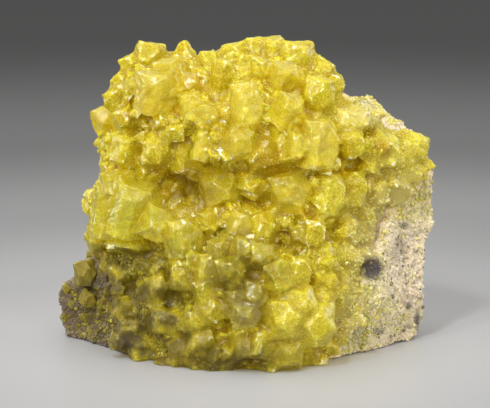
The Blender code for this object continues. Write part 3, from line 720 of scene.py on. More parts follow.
rock = copy_of_solid("matrix", "rock_skin")
use_modifier(rock, "REMESH", mode="VOXEL", voxel_size=ROCK_NET)
push_about(rock, "CLOUDS", 7 * MM, 1.1 * MM, noise_depth=2)
push_about(rock, "VORONOI", 2.6 * MM, -0.6 * MM, middle=0.35)
push_about(rock, "VORONOI", 1.2 * MM, -0.6 * MM, middle=0.3)
push_about(rock, "CLOUDS", 0.8 * MM, 0.7 * MM, noise_depth=2)
keep_above_floor(rock.data)
bpy.ops.object.shade_smooth()
put_values(rock.data, "bare", 1 - near(mesh_points(rock.data), druse_faces, COVER_REACH))
put_values(rock.data, "edge", relief(rock.data, rounds=4) / ROCK_EDGE)
# Its seams, which its finish darkens as painted shade
put_values(rock.data, "seam", relief(rock.data, rounds=30) / ROCK_SEAM)
paint_patches(rock.data, mesh_points(rock.data))
print("rock skin:", triangles(rock), "triangles")

# %% [markdown]
# ## Crystal blanks
#
# A crystal is a block with its corners cut off by flat planes, so it is carved the way a lapidary would:
# a cube is cut by one plane after another, and each cut is filled. Five blanks, turned and stretched,
# are enough for thousands of crystals, hardly two of which look the same.

# %% Carve the blanks
BLANK_CUTS = {
    # name: planes as (direction, distance from the middle)
    "stub": (
        ((-1, -1, 1), 0.47), ((1, -1, 1), 0.47), ((-1, -1, -1), 0.50), ((1, -1, -1), 0.50),
        ((0.2, 1, 1), 0.50),
    ),
    "block": (
        ((-1, -1, 0.1), 0.56), ((1, -0.9, 1.3), 0.57), ((-1, -1, 1.4), 0.60), ((1, -1, -1), 0.66),
    ),
    "pyramid": (
        ((-1, -1, 0.7), 0.36), ((1, -1, 0.7), 0.36), ((-1, 1, 0.7), 0.36), ((1, 1, 0.7), 0.36),
        ((-1, -1, -1), 0.42), ((1, -1, -1), 0.42),
    ),
    "wedge": (
        ((-1, -0.2, 0.8), 0.42), ((1, -0.6, 0.3), 0.46), ((0.1, -1, 0.7), 0.46), ((0.3, -1, -0.8), 0.50),
    ),
    "chip": (
        ((-1, -0.6, 0.9), 0.34), ((1, -0.4, 0.8), 0.40), ((0.3, 1, 0.9), 0.40),
    ),
}


def carve_blank(cuts):
    """Corners and triangles of a crystal one unit across, cut from a cube."""
    bpy.ops.object.select_all(action="DESELECT")
    bpy.ops.mesh.primitive_cube_add(size=1)
    blank = bpy.context.object
    bpy.ops.object.mode_set(mode="EDIT")
    for direction, distance in cuts:
        normal = Vector(direction).normalized()
        bpy.ops.mesh.select_all(action="SELECT")
        bpy.ops.mesh.bisect(plane_co=normal * distance, plane_no=normal, use_fill=True, clear_outer=True)
    bpy.ops.mesh.select_all(action="SELECT")
    bpy.ops.mesh.quads_convert_to_tris()
    bpy.ops.object.mode_set(mode="OBJECT")
    corners = mesh_points(blank.data)
    faces = np.array([face.vertices for face in blank.data.polygons])
    bpy.data.objects.remove(blank)
    return corners, faces


BLANKS = {name: carve_blank(cuts) for name, cuts in BLANK_CUTS.items()}
print("triangles of a blank:", {name: len(blank[1]) for name, blank in BLANKS.items()})

# %% [markdown]
# ## Many copies in one object
#
# Thousands of crystals as thousands of objects would be slow, so copies are joined as they are made: each
# blank's corners are moved by the copy's placing, and the lists are strung together. Two values go with
# them: seam says how near a corner is to the crystal's root, where the sulfur tint paints shade, and each
# crystal has one tone of its own.

# %% Write the copying helpers
ROOT_START = 0.4             # where the root begins, from 0 at the tip to 1


def per_copy(copies, values):
    """Repeats one value for each copy over the copy's points."""
    return np.repeat(np.asarray(values, float), [len(blank[0]) for blank, _ in copies], axis=0)


def join_copies(name, copies, rootwards, draws):
    """One object from (blank, placing matrix) pairs. rootwards is the blank's direction to its root."""
    points, faces, used = [], [], 0
    for (corners, sides), placing in copies:
        points.append(corners @ np.array(placing.to_3x3()).T + np.array(placing.translation))
        faces.append(sides + used)
        used += len(corners)
    mesh = bpy.data.meshes.new(name)
    mesh.from_pydata(np.concatenate(points).tolist(), [], np.concatenate(faces).tolist())
    keep_above_floor(mesh)
    put_values(mesh, "edge", np.zeros(len(mesh.vertices)))
    # Painted shade comes from seam, which grows towards each crystal's root
    depth = np.concatenate([blank[0] @ np.array(rootwards, float) + 0.5 for blank, _ in copies])
    put_values(mesh, "seam", -np.clip((depth - ROOT_START) / (1 - ROOT_START), 0, 1))
    put_values(mesh, "tone", per_copy(copies, draws.uniform(0.0, 1.0, len(copies))))
    middles = np.array([placing.translation for _, placing in copies])
    paint_patches(mesh, per_copy(copies, middles))
    piece = bpy.data.objects.new(name, mesh)
    bpy.context.collection.objects.link(piece)
    print(f"{name}: {len(copies)} crystals, {len(mesh.polygons)} triangles")
    return piece


# %% [markdown]
# ## Finding ground for a crystal
#
# A small crystal grows where there is ground for it. A skin's triangles are drawn at random, each as often
# as its area and a weight say, and a crystal is planted at a random spot of each, pointing outwards.

# %% Write the planting helpers
FOOT_ROOT = (0, 0, -1)       # a planted crystal's root is at its foot
FACE_ROOT = (0, 1, 0)        # a large crystal faces forward, so its root is behind it


def ground(mesh):
    """Corner points, areas and outward normals of a mesh's triangles."""
    mesh.calc_loop_triangles()
    corners = np.empty(len(mesh.loop_triangles) * 3, np.int64)
    mesh.loop_triangles.foreach_get("vertices", corners)
    corners = corners.reshape(-1, 3)
    first, second, third = (mesh_points(mesh)[corners[:, side]] for side in range(3))
    outward = np.cross(second - first, third - first)
    area = np.linalg.norm(outward, axis=1)
    return corners, (first, second, third), area / 2, outward / np.maximum(area, 1e-20)[:, None]


def choose_spots(source, weight_of, count, draws):
    """Random spots on a skin, with their normals. weight_of turns points and a reader into weights."""
    mesh = source.data
    corners, (first, second, third), area, normals = ground(mesh)

    def read(name):
        values = np.empty(len(mesh.vertices), np.float32)
        mesh.attributes[name].data.foreach_get("value", values)
        return values[corners].mean(axis=1)

    weight = area * np.clip(weight_of((first + second + third) / 3, normals, read), 0, None)
    chosen = draws.choice(len(area), count, p=weight / weight.sum())
    along, across = draws.random((2, count, 1))
    over = along + across > 1
    along, across = np.where(over, 1 - along, along), np.where(over, 1 - across, across)
    start = first[chosen]
    spots = start + along * (second[chosen] - start) + across * (third[chosen] - start)
    return spots, normals[chosen]


def spread_sizes(smallest, largest, count, draws):
    """Random sizes in metres, with many small and few large ones."""
    return np.exp(draws.uniform(np.log(smallest), np.log(largest), count)) * MM


def plant(spots, normals, sizes, draws, slimness, tilt, rise):
    """Copies of random blanks on these spots. Their third axis points out, tilted at random.

    Slimness is their least and greatest length, and rise is how far their middles stand out of the
    ground, both in their sizes.
    """
    names = sorted(BLANKS)
    copies = []
    for spot, normal, size in zip(spots, normals, sizes):
        outward = (Vector(normal) + Vector(draws.normal(0, tilt, 3))).normalized()
        turn = outward.to_track_quat("Z", "Y").to_matrix()
        turn = turn @ Matrix.Rotation(draws.uniform(0, 2 * pi), 3, "Z")
        wide = size * draws.uniform(0.8, 1.1)
        deep = size * draws.uniform(0.8, 1.1)
        long = size * draws.uniform(*slimness)
        placing = Matrix.Translation(Vector(spot) + outward * size * rise) @ turn.to_4x4()
        blank = BLANKS[names[draws.integers(len(names))]]
        copies.append((blank, placing @ Matrix.Diagonal((wide, deep, long, 1))))
    return copies


def grow(name, source, weight_of, count, draws, sizes, **habit):
    """Plants this many crystals on a skin and joins them. Sizes are the least and greatest in mm.

    Habit is the slimness, tilt and rise that plant asks for.
    """
    spots, outwards = choose_spots(source, weight_of, count, draws)
    copies = plant(spots, outwards, spread_sizes(*sizes, count, draws), draws, **habit)
    return join_copies(name, copies, FOOT_ROOT, draws), copies


# %% [markdown]
# ## Large crystals
#
# The large crystals give the specimen its face. Each is a carved blank, with the size and the angles that it
# has in the solid: nod tips its head forward, lean tips it to the right, and turn spins it about its own
# axis. Only pale_stub is smaller than there and turned another way, so that its faces catch the light. A few
# crystals at the edges aren't listed, because the growth's skin takes them from the solid.
#
# Some crystals are clear and stay apart from the growth, the milky ones will be fused into it.

# %% List the large crystals
LARGE_CRYSTALS = {
    # name: (column, row, (width, depth, length) in mm, blank, (nod, lean, turn) in degrees, finish)
    "top_left_peak": (152, 62, (7.0, 6.5, 7.5), "stub", (10, 12, 20), "milky"),
    "second_peak": (185, 59, (6.0, 5.0, 7.5), "pyramid", (0, -8, 15), "milky"),
    "peak_saddle": (209, 64, (4.5, 4.5, 5.0), "stub", (10, 5, 50), "milky"),
    "left_shoulder_upper": (134, 68, (5.0, 5.0, 5.5), "stub", (20, -30, 10), "milky"),
    "left_shoulder_mid": (122, 84, (4.0, 4.0, 4.5), "stub", (15, -35, 35), "milky"),
    "left_shoulder_lower": (115, 99, (4.0, 4.0, 4.0), "block", (10, -25, 60), "milky"),
    "great_block_left": (158, 97, (8.5, 7.0, 9.5), "block", (18, 4, 28), "clear"),
    "glint_plate": (137, 88, (3.5, 3.0, 3.5), "block", (50, -20, 10), "clear"),
    "left_bulge": (106, 122, (5.0, 5.0, 6.5), "stub", (10, -20, 40), "clear"),
    "left_face_low": (127, 121, (5.0, 4.5, 5.0), "stub", (25, -15, 30), "milky"),
    "left_face_mid": (128, 152, (6.0, 5.0, 6.5), "block", (5, 10, 35), "milky"),
    "spark_cluster": (143, 139, (3.0, 3.0, 3.5), "pyramid", (40, 30, 20), "clear"),
    "hanging_prism_left": (158, 151, (5.5, 5.0, 7.5), "stub", (-10, 6, 25), "milky"),
    "upper_hollow_crystal": (172, 77, (7.5, 6.0, 7.0), "stub", (30, -12, 10), "clear"),
    "saddle_block": (190, 88, (5.0, 5.0, 5.5), "stub", (20, 15, 40), "clear"),
    "clear_pair_left": (193, 109, (5.0, 4.5, 6.0), "block", (12, -12, 20), "clear"),
    "clear_pair_right": (210, 120, (4.5, 4.5, 5.5), "stub", (25, 20, 50), "clear"),
    "leaning_prism": (203, 149, (4.0, 4.0, 7.5), "block", (-4, 13, 12), "clear"),
    "hollow_glint": (194, 174, (3.5, 3.0, 2.5), "block", (30, 10, 25), "clear"),
    "tall_pale_face": (223, 80, (5.0, 4.5, 8.5), "block", (12, 6, 20), "milky"),
    "crown_left": (236, 57, (6.0, 5.5, 5.5), "stub", (25, -10, 15), "milky"),
    "crown_mid": (256, 53, (4.5, 4.5, 6.5), "stub", (10, 4, 40), "milky"),
    "crown_right": (275, 53, (5.0, 5.0, 6.0), "block", (15, -4, 20), "milky"),
    "crown_glint": (260, 73, (4.5, 4.5, 5.5), "stub", (35, 10, 15), "clear"),
    "crown_far_right": (298, 60, (8.0, 6.5, 7.5), "stub", (30, 12, 30), "milky"),
    "right_shoulder_one": (322, 74, (5.0, 5.0, 5.5), "stub", (15, 35, 20), "milky"),
    "right_shoulder_two": (335, 90, (4.0, 4.0, 5.0), "stub", (10, 40, 50), "milky"),
    "pale_facet": (284, 80, (6.0, 5.0, 5.5), "block", (25, 20, 35), "clear"),
    "right_hood": (318, 98, (7.5, 6.0, 8.0), "stub", (20, 15, 10), "milky"),
    "pale_column": (246, 108, (6.5, 5.5, 10.0), "block", (6, -3, 22), "clear"),
    "pale_stub": (241, 146, (8.0, 7.0, 8.0), "stub", (8, 40, 12), "clear"),
    "rhomb_block": (288, 115, (6.5, 6.0, 7.0), "block", (20, 28, 38), "clear"),
    "rhomb_foot": (284, 147, (5.5, 5.0, 8.5), "block", (-8, -6, 30), "milky"),
    "tall_block": (317, 148, (7.5, 7.0, 11.5), "block", (8, 3, 34), "clear"),
    "small_block": (296, 147, (4.0, 4.0, 5.5), "block", (6, 8, 25), "clear"),
    "hollow_great_crystal": (221, 188, (9.0, 7.5, 10.0), "stub", (-20, -18, 20), "clear"),
    "hollow_back_left": (186, 160, (5.5, 5.0, 7.0), "block", (5, 4, 30), "milky"),
    "hollow_back_mid": (262, 155, (6.0, 5.0, 7.0), "stub", (0, -12, 20), "milky"),
    "hollow_floor": (252, 188, (6.0, 5.0, 5.5), "stub", (10, 14, 40), "milky"),
    "hollow_back_low": (172, 196, (6.0, 5.0, 6.5), "stub", (12, 20, 15), "milky"),
    "gem_left": (112, 216, (8.5, 7.5, 12.5), "block", (6, 10, 14), "clear"),
    "gem_middle": (134, 213, (12.0, 9.0, 12.5), "block", (18, 16, 38), "clear"),
    "gem_upper": (121, 190, (8.0, 7.0, 7.0), "stub", (22, -4, 15), "clear"),
    "gem_right": (160, 227, (9.0, 7.5, 8.0), "stub", (14, 26, 40), "clear"),
    "gem_foot_left": (101, 240, (6.0, 5.5, 5.5), "stub", (0, -25, 20), "milky"),
    "gem_foot_middle": (130, 243, (9.0, 6.5, 5.5), "block", (-10, 6, 30), "milky"),
    "curved_crystal": (291, 194, (9.0, 7.5, 9.0), "stub", (22, -14, 20), "clear"),
    "pale_pillar": (328, 196, (6.0, 5.5, 9.5), "block", (5, 6, 25), "milky"),
    "amber_pillar": (352, 190, (6.0, 5.0, 8.0), "block", (4, 2, 15), "milky"),
    "bead_crystal": (334, 166, (3.0, 3.0, 3.0), "stub", (30, 0, 20), "clear"),
    "ledge_block": (351, 146, (5.5, 5.0, 5.5), "block", (12, -6, 15), "milky"),
    "hollow_cube": (208, 219, (3.5, 3.5, 3.5), "block", (20, -14, 30), "clear"),
    "pale_cluster_left": (240, 225, (4.5, 4.5, 5.5), "block", (10, 20, 25), "clear"),
    "pale_cluster_mid": (262, 228, (6.0, 5.0, 6.5), "stub", (15, -15, 20), "milky"),
    "sparkle_twin_left": (300, 236, (4.5, 4.5, 5.0), "stub", (20, -10, 20), "clear"),
    "sparkle_twin_right": (313, 233, (4.5, 4.5, 5.5), "block", (10, 8, 20), "milky"),
    "water_clear_crystal": (220, 248, (4.5, 4.0, 4.0), "block", (25, -5, 45), "clear"),
    "greenish_group": (184, 240, (7.5, 6.5, 9.0), "block", (8, -6, 30), "clear"),
    "greenish_foot": (189, 259, (5.0, 4.5, 5.0), "stub", (0, 10, 20), "milky"),
    "pale_cluster_low": (246, 251, (6.0, 5.0, 5.5), "stub", (20, 15, 30), "milky"),
    "grey_crystal": (208, 268, (5.0, 4.5, 5.5), "block", (0, 8, 20), "milky"),
    "bright_stub": (231, 271, (6.5, 6.0, 5.5), "stub", (35, -8, 15), "milky"),
    "mid_right_stub": (264, 259, (8.0, 6.5, 6.5), "stub", (10, 12, 30), "clear"),
    "split_block_left": (279, 276, (7.0, 6.0, 7.0), "block", (10, -24, 40), "milky"),
    "split_block_right": (298, 270, (5.0, 4.5, 6.0), "block", (15, 12, 20), "milky"),
    "smoky_cluster_top": (256, 296, (6.0, 5.5, 6.5), "stub", (20, 10, 20), "clear"),
    "smoky_cluster_foot": (248, 316, (6.5, 5.5, 6.0), "stub", (0, -10, 40), "clear"),
    "smoky_cluster_side": (236, 300, (3.5, 3.5, 5.0), "block", (15, -14, 20), "clear"),
    "lemon_group_left": (286, 318, (7.0, 6.5, 8.5), "stub", (12, -8, 20), "milky"),
    "lemon_group_mid": (300, 302, (7.0, 6.0, 6.0), "stub", (25, 5, 35), "milky"),
    "lemon_group_right": (315, 324, (9.0, 7.5, 9.5), "stub", (12, 12, 15), "milky"),
    "amber_foot": (287, 346, (7.0, 6.0, 9.0), "stub", (-16, -4, 15), "milky"),
    "hanging_group_left": (243, 343, (5.0, 4.5, 6.5), "block", (-10, -8, 20), "milky"),
    "hanging_group_right": (261, 343, (5.0, 4.5, 6.5), "block", (-12, 6, 35), "milky"),
    "foot_tip": (230, 355, (5.0, 4.5, 5.0), "stub", (-10, 25, 20), "milky"),
    "foot_lump_left": (181, 352, (5.0, 4.5, 5.5), "stub", (-5, -10, 20), "milky"),
    "foot_lump_mid": (205, 342, (6.0, 5.5, 6.5), "stub", (8, 14, 30), "milky"),
    "low_crust_one": (213, 310, (6.0, 5.0, 5.5), "stub", (15, -10, 20), "milky"),
    "low_crust_two": (196, 322, (4.5, 4.5, 5.0), "stub", (20, 12, 50), "milky"),
    "low_crust_three": (206, 291, (5.0, 4.5, 5.5), "block", (10, -16, 25), "milky"),
    "crust_stub_pair": (182, 278, (4.5, 4.0, 5.5), "stub", (10, 0, 20), "milky"),
    "crust_knob_left": (160, 288, (6.0, 5.0, 5.5), "stub", (10, -12, 25), "milky"),
    "crust_shelf": (170, 321, (8.0, 5.5, 5.5), "block", (12, 6, 15), "milky"),
    "apron_knob": (126, 276, (6.0, 5.0, 5.0), "stub", (10, -14, 30), "milky"),
    "apron_stub": (124, 305, (4.5, 4.0, 5.0), "block", (10, 5, 20), "milky"),
    "apron_step": (135, 331, (7.0, 5.5, 5.5), "stub", (10, 12, 15), "milky"),
    "apron_cube": (140, 350, (4.5, 4.5, 5.0), "block", (2, -3, 18), "milky"),
}

# %% Stand them on the solid
LINE_START = 0.2             # how far in front of the sheet a line starts, in metres


def placed_blank(middle, size, blank, angles):
    """A blank with its middle here, of this size and turned by these angles."""
    nod, lean, turn = (radians(angle) for angle in angles)
    placing = Matrix.Translation(middle) @ Matrix.Rotation(lean, 4, "Y")
    placing = placing @ Matrix.Rotation(nod - SHEET_LEAN, 4, "X") @ Matrix.Rotation(turn, 4, "Z")
    return BLANKS[blank], placing @ Matrix.Diagonal(size.to_4d())


def large_copy(column, row, size, blank, angles):
    """A blank placed so that its front meets the solid's front on the line through the sheet."""
    front = druse_faces.ray_cast(on_sheet(column, row) - INTO_SHEET * LINE_START, INTO_SHEET)[0]
    size = Vector(size) * MM
    return placed_blank(front + Vector((0, size.y / 2, 0)), size, blank, angles)


def large_copies(finish):
    """All large crystals with this finish, placed."""
    return [large_copy(*place) for *place, kind in LARGE_CRYSTALS.values() if kind == finish]


draws = np.random.default_rng(11)
large = {finish: large_copies(finish) for finish in ("clear", "milky")}
clear = join_copies("clear_crystals", large["clear"], FACE_ROOT, draws)
milky = join_copies("milky_crystals", large["milky"], FACE_ROOT, draws)

# %% [markdown]
# ## The growth
#
# The crystals of the growth are fused, so their skin is one too: light that enters one crystal comes out
# of its neighbour. First, the narrow gaps between the solid's crystals are closed, as new sulfur would fill
# them: the form is swollen, remeshed and shrunk back. Middling crystals of 2 to 4 mm are planted over it.
#
# Then the lot is remeshed as one, which rounds each edge by the net's width. Some places are melted down in
# part, most of all those without large crystals. The skin is drawn back inside the clear crystals, so that
# they show their depth. Last, it is smoothed a little, and noise gives it small uneven facets.

# %% Fill the gaps and plant the middling crystals
CLOSING_NET = 0.5 * MM
CLOSING_REACH = 1.1 * MM
MIDDLING_CRYSTALS = 420
MELTED_EVERYWHERE = 0.08
MELTED = {
    # name: column, row, reach across, reach up, share
    "upper_right_ledge": (350, 112, 34, 24, 0.85),
    "right_shoulder": (398, 150, 40, 30, 0.75),
    "right_edge": (340, 285, 26, 56, 0.8),
    "right_of_pillar": (362, 215, 30, 24, 0.8),
    "low_left_crust": (160, 314, 36, 38, 0.6),
    "left_flank": (112, 100, 22, 34, 0.25),
    "under_gem": (140, 262, 36, 18, 0.5),
    "great_hollow": (190, 192, 24, 16, 0.7),
    "foot": (200, 358, 80, 12, 0.4),
    "lemon_group": (300, 318, 38, 30, 0.4),
    "crown": (270, 55, 70, 20, 0.3),
}


def melted_share(columns, rows):
    """How much of its relief the growth loses at these places."""
    share = np.full(len(columns), MELTED_EVERYWHERE)
    for column, row, reach_across, reach_up, most in MELTED.values():
        apart = np.hypot((columns - column) / reach_across, (rows - row) / reach_up)
        share = np.maximum(share, most * np.clip(2.0 - 1.6 * apart, 0, 1))
    return share


def inside_share(points, placing, reach, fade):
    """1 near a placed blank's middle, 0 beyond this reach from it. Reach and fade are in its sizes."""
    inward = placing.inverted()
    local = points @ np.array(inward.to_3x3()).T + np.array(inward.translation)
    return np.clip((reach - np.abs(local).max(axis=1)) / fade, 0, 1)


def free_ground(places, normals):
    """1 where a crystal may grow, 0 on a large crystal's face and where the rock hides it."""
    taken = np.zeros(len(places))
    for _, placing in large["clear"] + large["milky"]:
        taken = np.maximum(taken, inside_share(places, placing, reach=0.75, fade=0.2))
    # What faces back and not up lies against the rock
    hidden = (normals[:, 1] > 0.4) & (normals[:, 2] < 0.5)
    return np.where(hidden | (places[:, 2] < 1.2 * MM), 0.0, 1 - taken)


def middling_ground(places, normals, read):
    melted = melted_share(*sheet_places(places))
    return free_ground(places, normals) * (0.3 + np.clip(-read("seam"), 0, 1)) * (1 - 0.6 * melted)


growth = copy_of_solid("sulfur_druse", "growth_skin")
filled = copy_of_solid("sulfur_druse", "filled_growth")
use_modifier(filled, "REMESH", mode="VOXEL", voxel_size=CLOSING_NET)
use_modifier(filled, "DISPLACE", strength=CLOSING_REACH, mid_level=0)
use_modifier(filled, "REMESH", mode="VOXEL", voxel_size=CLOSING_NET)
use_modifier(filled, "DISPLACE", strength=-CLOSING_REACH, mid_level=0)
put_values(filled.data, "seam", relief(filled.data, rounds=40) / FULL_SEAM)
middling, middling_copies = grow(
    "middling_crystals", filled, middling_ground, MIDDLING_CRYSTALS, draws,
    sizes=(2.0, 4.4), slimness=(0.9, 1.3), tilt=0.35, rise=0.02,
)
print("filled growth:", triangles(filled), "triangles")

# %% Fuse it into one skin
GROWTH_NET = 0.30 * MM
MOST_TRIANGLES = 195000
HIDDEN_REACH = 1.3 * MM      # skin this near to the rock is hidden, and needs little detail
CORE_REACH = 0.62            # how far from a clear crystal's middle the skin is pulled, in its sizes
CORE_FADE = 0.14
CORE_SHRINK = 0.7            # how much of the way to the crystal's root it is pulled
ROOT_DEPTH = 0.35


def fuse(piece, others, net):
    """Joins other pieces to this one, if there are any, and remeshes the lot as one closed skin."""
    bpy.ops.object.select_all(action="DESELECT")
    for thing in (piece, *others):
        thing.select_set(True)
    bpy.context.view_layer.objects.active = piece
    if others:
        bpy.ops.object.join()
    use_modifier(piece, "REMESH", mode="VOXEL", voxel_size=net)


def melt(mesh, rounds):
    """Flattens the relief inside the melted places, and returns the relief that is left."""
    height = relief(mesh, rounds)
    points = mesh_points(mesh)
    share = melted_share(*sheet_places(points))
    points -= mesh_normals(mesh) * (height * share)[:, None]
    mesh.vertices.foreach_set("co", points.ravel())
    mesh.update()
    return height * (1 - share)


def draw_back(mesh, copies):
    """Pulls the skin back inside the clear crystals, towards their roots."""
    points = mesh_points(mesh)
    for _, placing in copies:
        root = np.array(placing.translation + INTO_SHEET * ROOT_DEPTH * max(placing.to_scale()))
        pull = CORE_SHRINK * inside_share(points, placing, CORE_REACH, CORE_FADE)
        points += (root - points) * pull[:, None]
    mesh.vertices.foreach_set("co", points.ravel())
    mesh.update()


def thin_out(piece, most):
    """Thins a skin to this many triangles, first where the rock hides it."""
    near_rock = np.flatnonzero(near(mesh_points(piece.data), rock_faces, HIDDEN_REACH)).tolist()
    piece.vertex_groups.new(name="hidden").add(near_rock, 1.0, "REPLACE")
    before = triangles(piece)
    share_kept = max(0.5, most / before)
    use_modifier(piece, "DECIMATE", ratio=share_kept, vertex_group="hidden", vertex_group_factor=100)
    use_modifier(piece, "DECIMATE", ratio=min(1.0, most / triangles(piece)))
    print(f"{piece.name}: {before} triangles, {len(near_rock)} points hidden, thinned to {triangles(piece)}")


def tones_of_crystals(mesh, copies):
    """Gives every point of a skin the tone of the crystal that is nearest to it."""
    tree = KDTree(len(copies))
    for number, (_, placing) in enumerate(copies):
        tree.insert(placing.translation, number)
    tree.balance()
    tones = np.random.default_rng(5).random(len(copies))
    put_values(mesh, "tone", [tones[tree.find(corner)[1]] for corner in mesh_points(mesh)])


fuse(growth, (filled, middling, milky), GROWTH_NET)
height = melt(growth.data, rounds=80)
draw_back(growth.data, large["clear"])
# The seams, which the sulfur tint darkens as painted shade
put_values(growth.data, "seam", height / FULL_SEAM)
use_modifier(growth, "SMOOTH", factor=0.5, iterations=2)
# The edges, which the sulfur tint lightens as painted highlight
put_values(growth.data, "edge", relief(growth.data, rounds=4) / FULL_EDGE)
push_about(growth, "CLOUDS", 3.0 * MM, 0.7 * MM, noise_depth=2)
push_about(growth, "VORONOI", 2.0 * MM, -0.25 * MM, middle=0.35, distance_metric="MANHATTAN")
use_modifier(growth, "SMOOTH", factor=0.5, iterations=1)
keep_above_floor(growth.data)
thin_out(growth, MOST_TRIANGLES)
bpy.ops.object.shade_smooth()
tones_of_crystals(growth.data, middling_copies + large["milky"] + large["clear"])
paint_patches(growth.data, mesh_points(growth.data))

# %% [markdown]
# The clear crystals overlap each other too, and a clear solid mustn't have walls inside. They are fused
# among themselves in the same way, and their faces made a little uneven.

# %% Fuse the clear crystals


def fuse_uneven(piece, net, lumps, grain, most):
    """Fuses a piece's crystals and makes their faces uneven by this much, in at most so many triangles."""
    fuse(piece, (), net)
    # The seams for painted shade, and the edges for painted highlight
    put_values(piece.data, "seam", relief(piece.data, rounds=90) / FULL_SEAM)
    use_modifier(piece, "SMOOTH", factor=0.5, iterations=2)
    put_values(piece.data, "edge", relief(piece.data, rounds=4) / FULL_EDGE)
    push_about(piece, "CLOUDS", 2.8 * MM, lumps, noise_depth=2)
    push_about(piece, "VORONOI", 1.7 * MM, -grain, middle=0.35, distance_metric="MANHATTAN")
    keep_above_floor(piece.data)
    use_modifier(piece, "DECIMATE", ratio=min(1.0, most / triangles(piece)))
    bpy.ops.object.shade_smooth()
    paint_patches(piece.data, mesh_points(piece.data))
    print(f"{piece.name}: {triangles(piece)} triangles")


fuse_uneven(clear, net=0.26 * MM, lumps=0.6 * MM, grain=0.3 * MM, most=160000)
tones_of_crystals(clear.data, large["clear"])

# %% [markdown]
# ## Small crystals
#
# Between the large crystals sits a sugar of small ones, and their sharp little faces make the sparkle.
# They crowd in the seams and on the dull and sandy crusts, and few grow in the amber hollows. None stands
# on a large crystal's face.

# %% Plant them on the growth
SMALL_CRYSTALS = 2600


def small_ground(places, normals, read):
    melted = melted_share(*sheet_places(places))
    crusted = (melted - MELTED_EVERYWHERE) * np.maximum(read("dull"), read("sandy")) * (1 - read("pale"))
    seams = np.clip(-read("seam"), 0, 1) * (1 - 0.8 * read("amber"))
    return free_ground(places, normals) * (0.05 + 0.6 * seams + crusted)


small, _ = grow(
    "small_crystals", growth, small_ground, SMALL_CRYSTALS, draws,
    sizes=(0.35, 0.95), slimness=(0.9, 1.3), tilt=0.45, rise=-0.02,
)

# %% [markdown]
# ## On the rock
#
# The rock's surface is loose grains, cemented together. They are planted like the crystals, in sizes from
# a quarter of a millimetre up, over its front and sides. Sulfur sugar goes where the rock is dusted, and the
# apron at the lower left carries dull crystals of its own, two of which stand alone.

# %% Plant the grains, the sugar and the dull crystals
ROCK_GRAINS = 4600
ROCK_SUGAR = 1200
APRON_CRYSTALS = 120
LONE_CRYSTALS = {
    # name: (width, depth, length) in mm, blank, (nod, lean, turn) in degrees
    "apron_long_crystal": ((5.0, 4.5, 6.0), "stub", (12, -10, 20)),
    "apron_small_crystal": ((3.5, 3.5, 3.5), "block", (20, 28, 20)),
}


def rock_front(places, normals):
    """1 on the rock's front, sides and top, off the floor, and 0 elsewhere."""
    return (normals[:, 1] < 0.3) & (places[:, 2] > 0.6 * MM)


def grain_ground(places, normals, read):
    return rock_front(places, normals) * read("bare") * (1 + 2 * np.maximum(read("dull"), read("purple")))


def sugar_ground(places, normals, read):
    return rock_front(places, normals) * read("bare") * read("dusted") ** 2


def apron_ground(places, normals, read):
    return rock_front(places, normals) * read("bare") * (read("dull") + 0.1) * (places[:, 0] < 0)


grains, _ = grow(
    "rock_grains", rock, grain_ground, ROCK_GRAINS, draws,
    sizes=(0.25, 0.85), slimness=(0.7, 1.1), tilt=0.6, rise=0.0,
)
sugar, _ = grow(
    "rock_sugar", rock, sugar_ground, ROCK_SUGAR, draws,
    sizes=(0.3, 1.0), slimness=(0.8, 1.2), tilt=0.5, rise=0.1,
)
apron, apron_copies = grow(
    "apron_crystals", rock, apron_ground, APRON_CRYSTALS, draws,
    sizes=(0.9, 2.8), slimness=(0.9, 1.2), tilt=0.4, rise=-0.2,
)
fuse_uneven(apron, net=0.28 * MM, lumps=0.5 * MM, grain=0.3 * MM, most=60000)
tones_of_crystals(apron.data, apron_copies)


def lone_copy(name):
    """A dull crystal where the solid has one that stands alone."""
    size, blank, angles = LONE_CRYSTALS[name]
    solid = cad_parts[name]
    corners = [solid.matrix_world @ Vector(corner) for corner in solid.bound_box]
    return placed_blank(sum(corners, Vector()) / len(corners), Vector(size) * MM, blank, angles)


lone = {name: join_copies(name + "_skin", [lone_copy(name)], FACE_ROOT, draws) for name in LONE_CRYSTALS}
for name, piece in lone.items():
    fuse_uneven(piece, net=0.22 * MM, lumps=0.5 * MM, grain=0.2 * MM, most=6000)
    tones_of_crystals(piece.data, [lone_copy(name)])

# %% [markdown]
# ## Sulfur
#
# Sulfur is clear yellow where it is pure and milky where it isn't. Light wanders inside it and comes out
# amber from the deep places. Subsurface scattering does the wandering, the tint adds painted amber shade in
# seams and hollows, and a share of transmission lets the eye in. The index of refraction is set below real
# sulfur's, whose strong shine would hide the colour.
#
# A renderer that follows light backwards from the eye loses the lamps behind bent glass, and clear crystals
# come out black inside. So rays to the lamps pass these crystals as through stained glass instead.

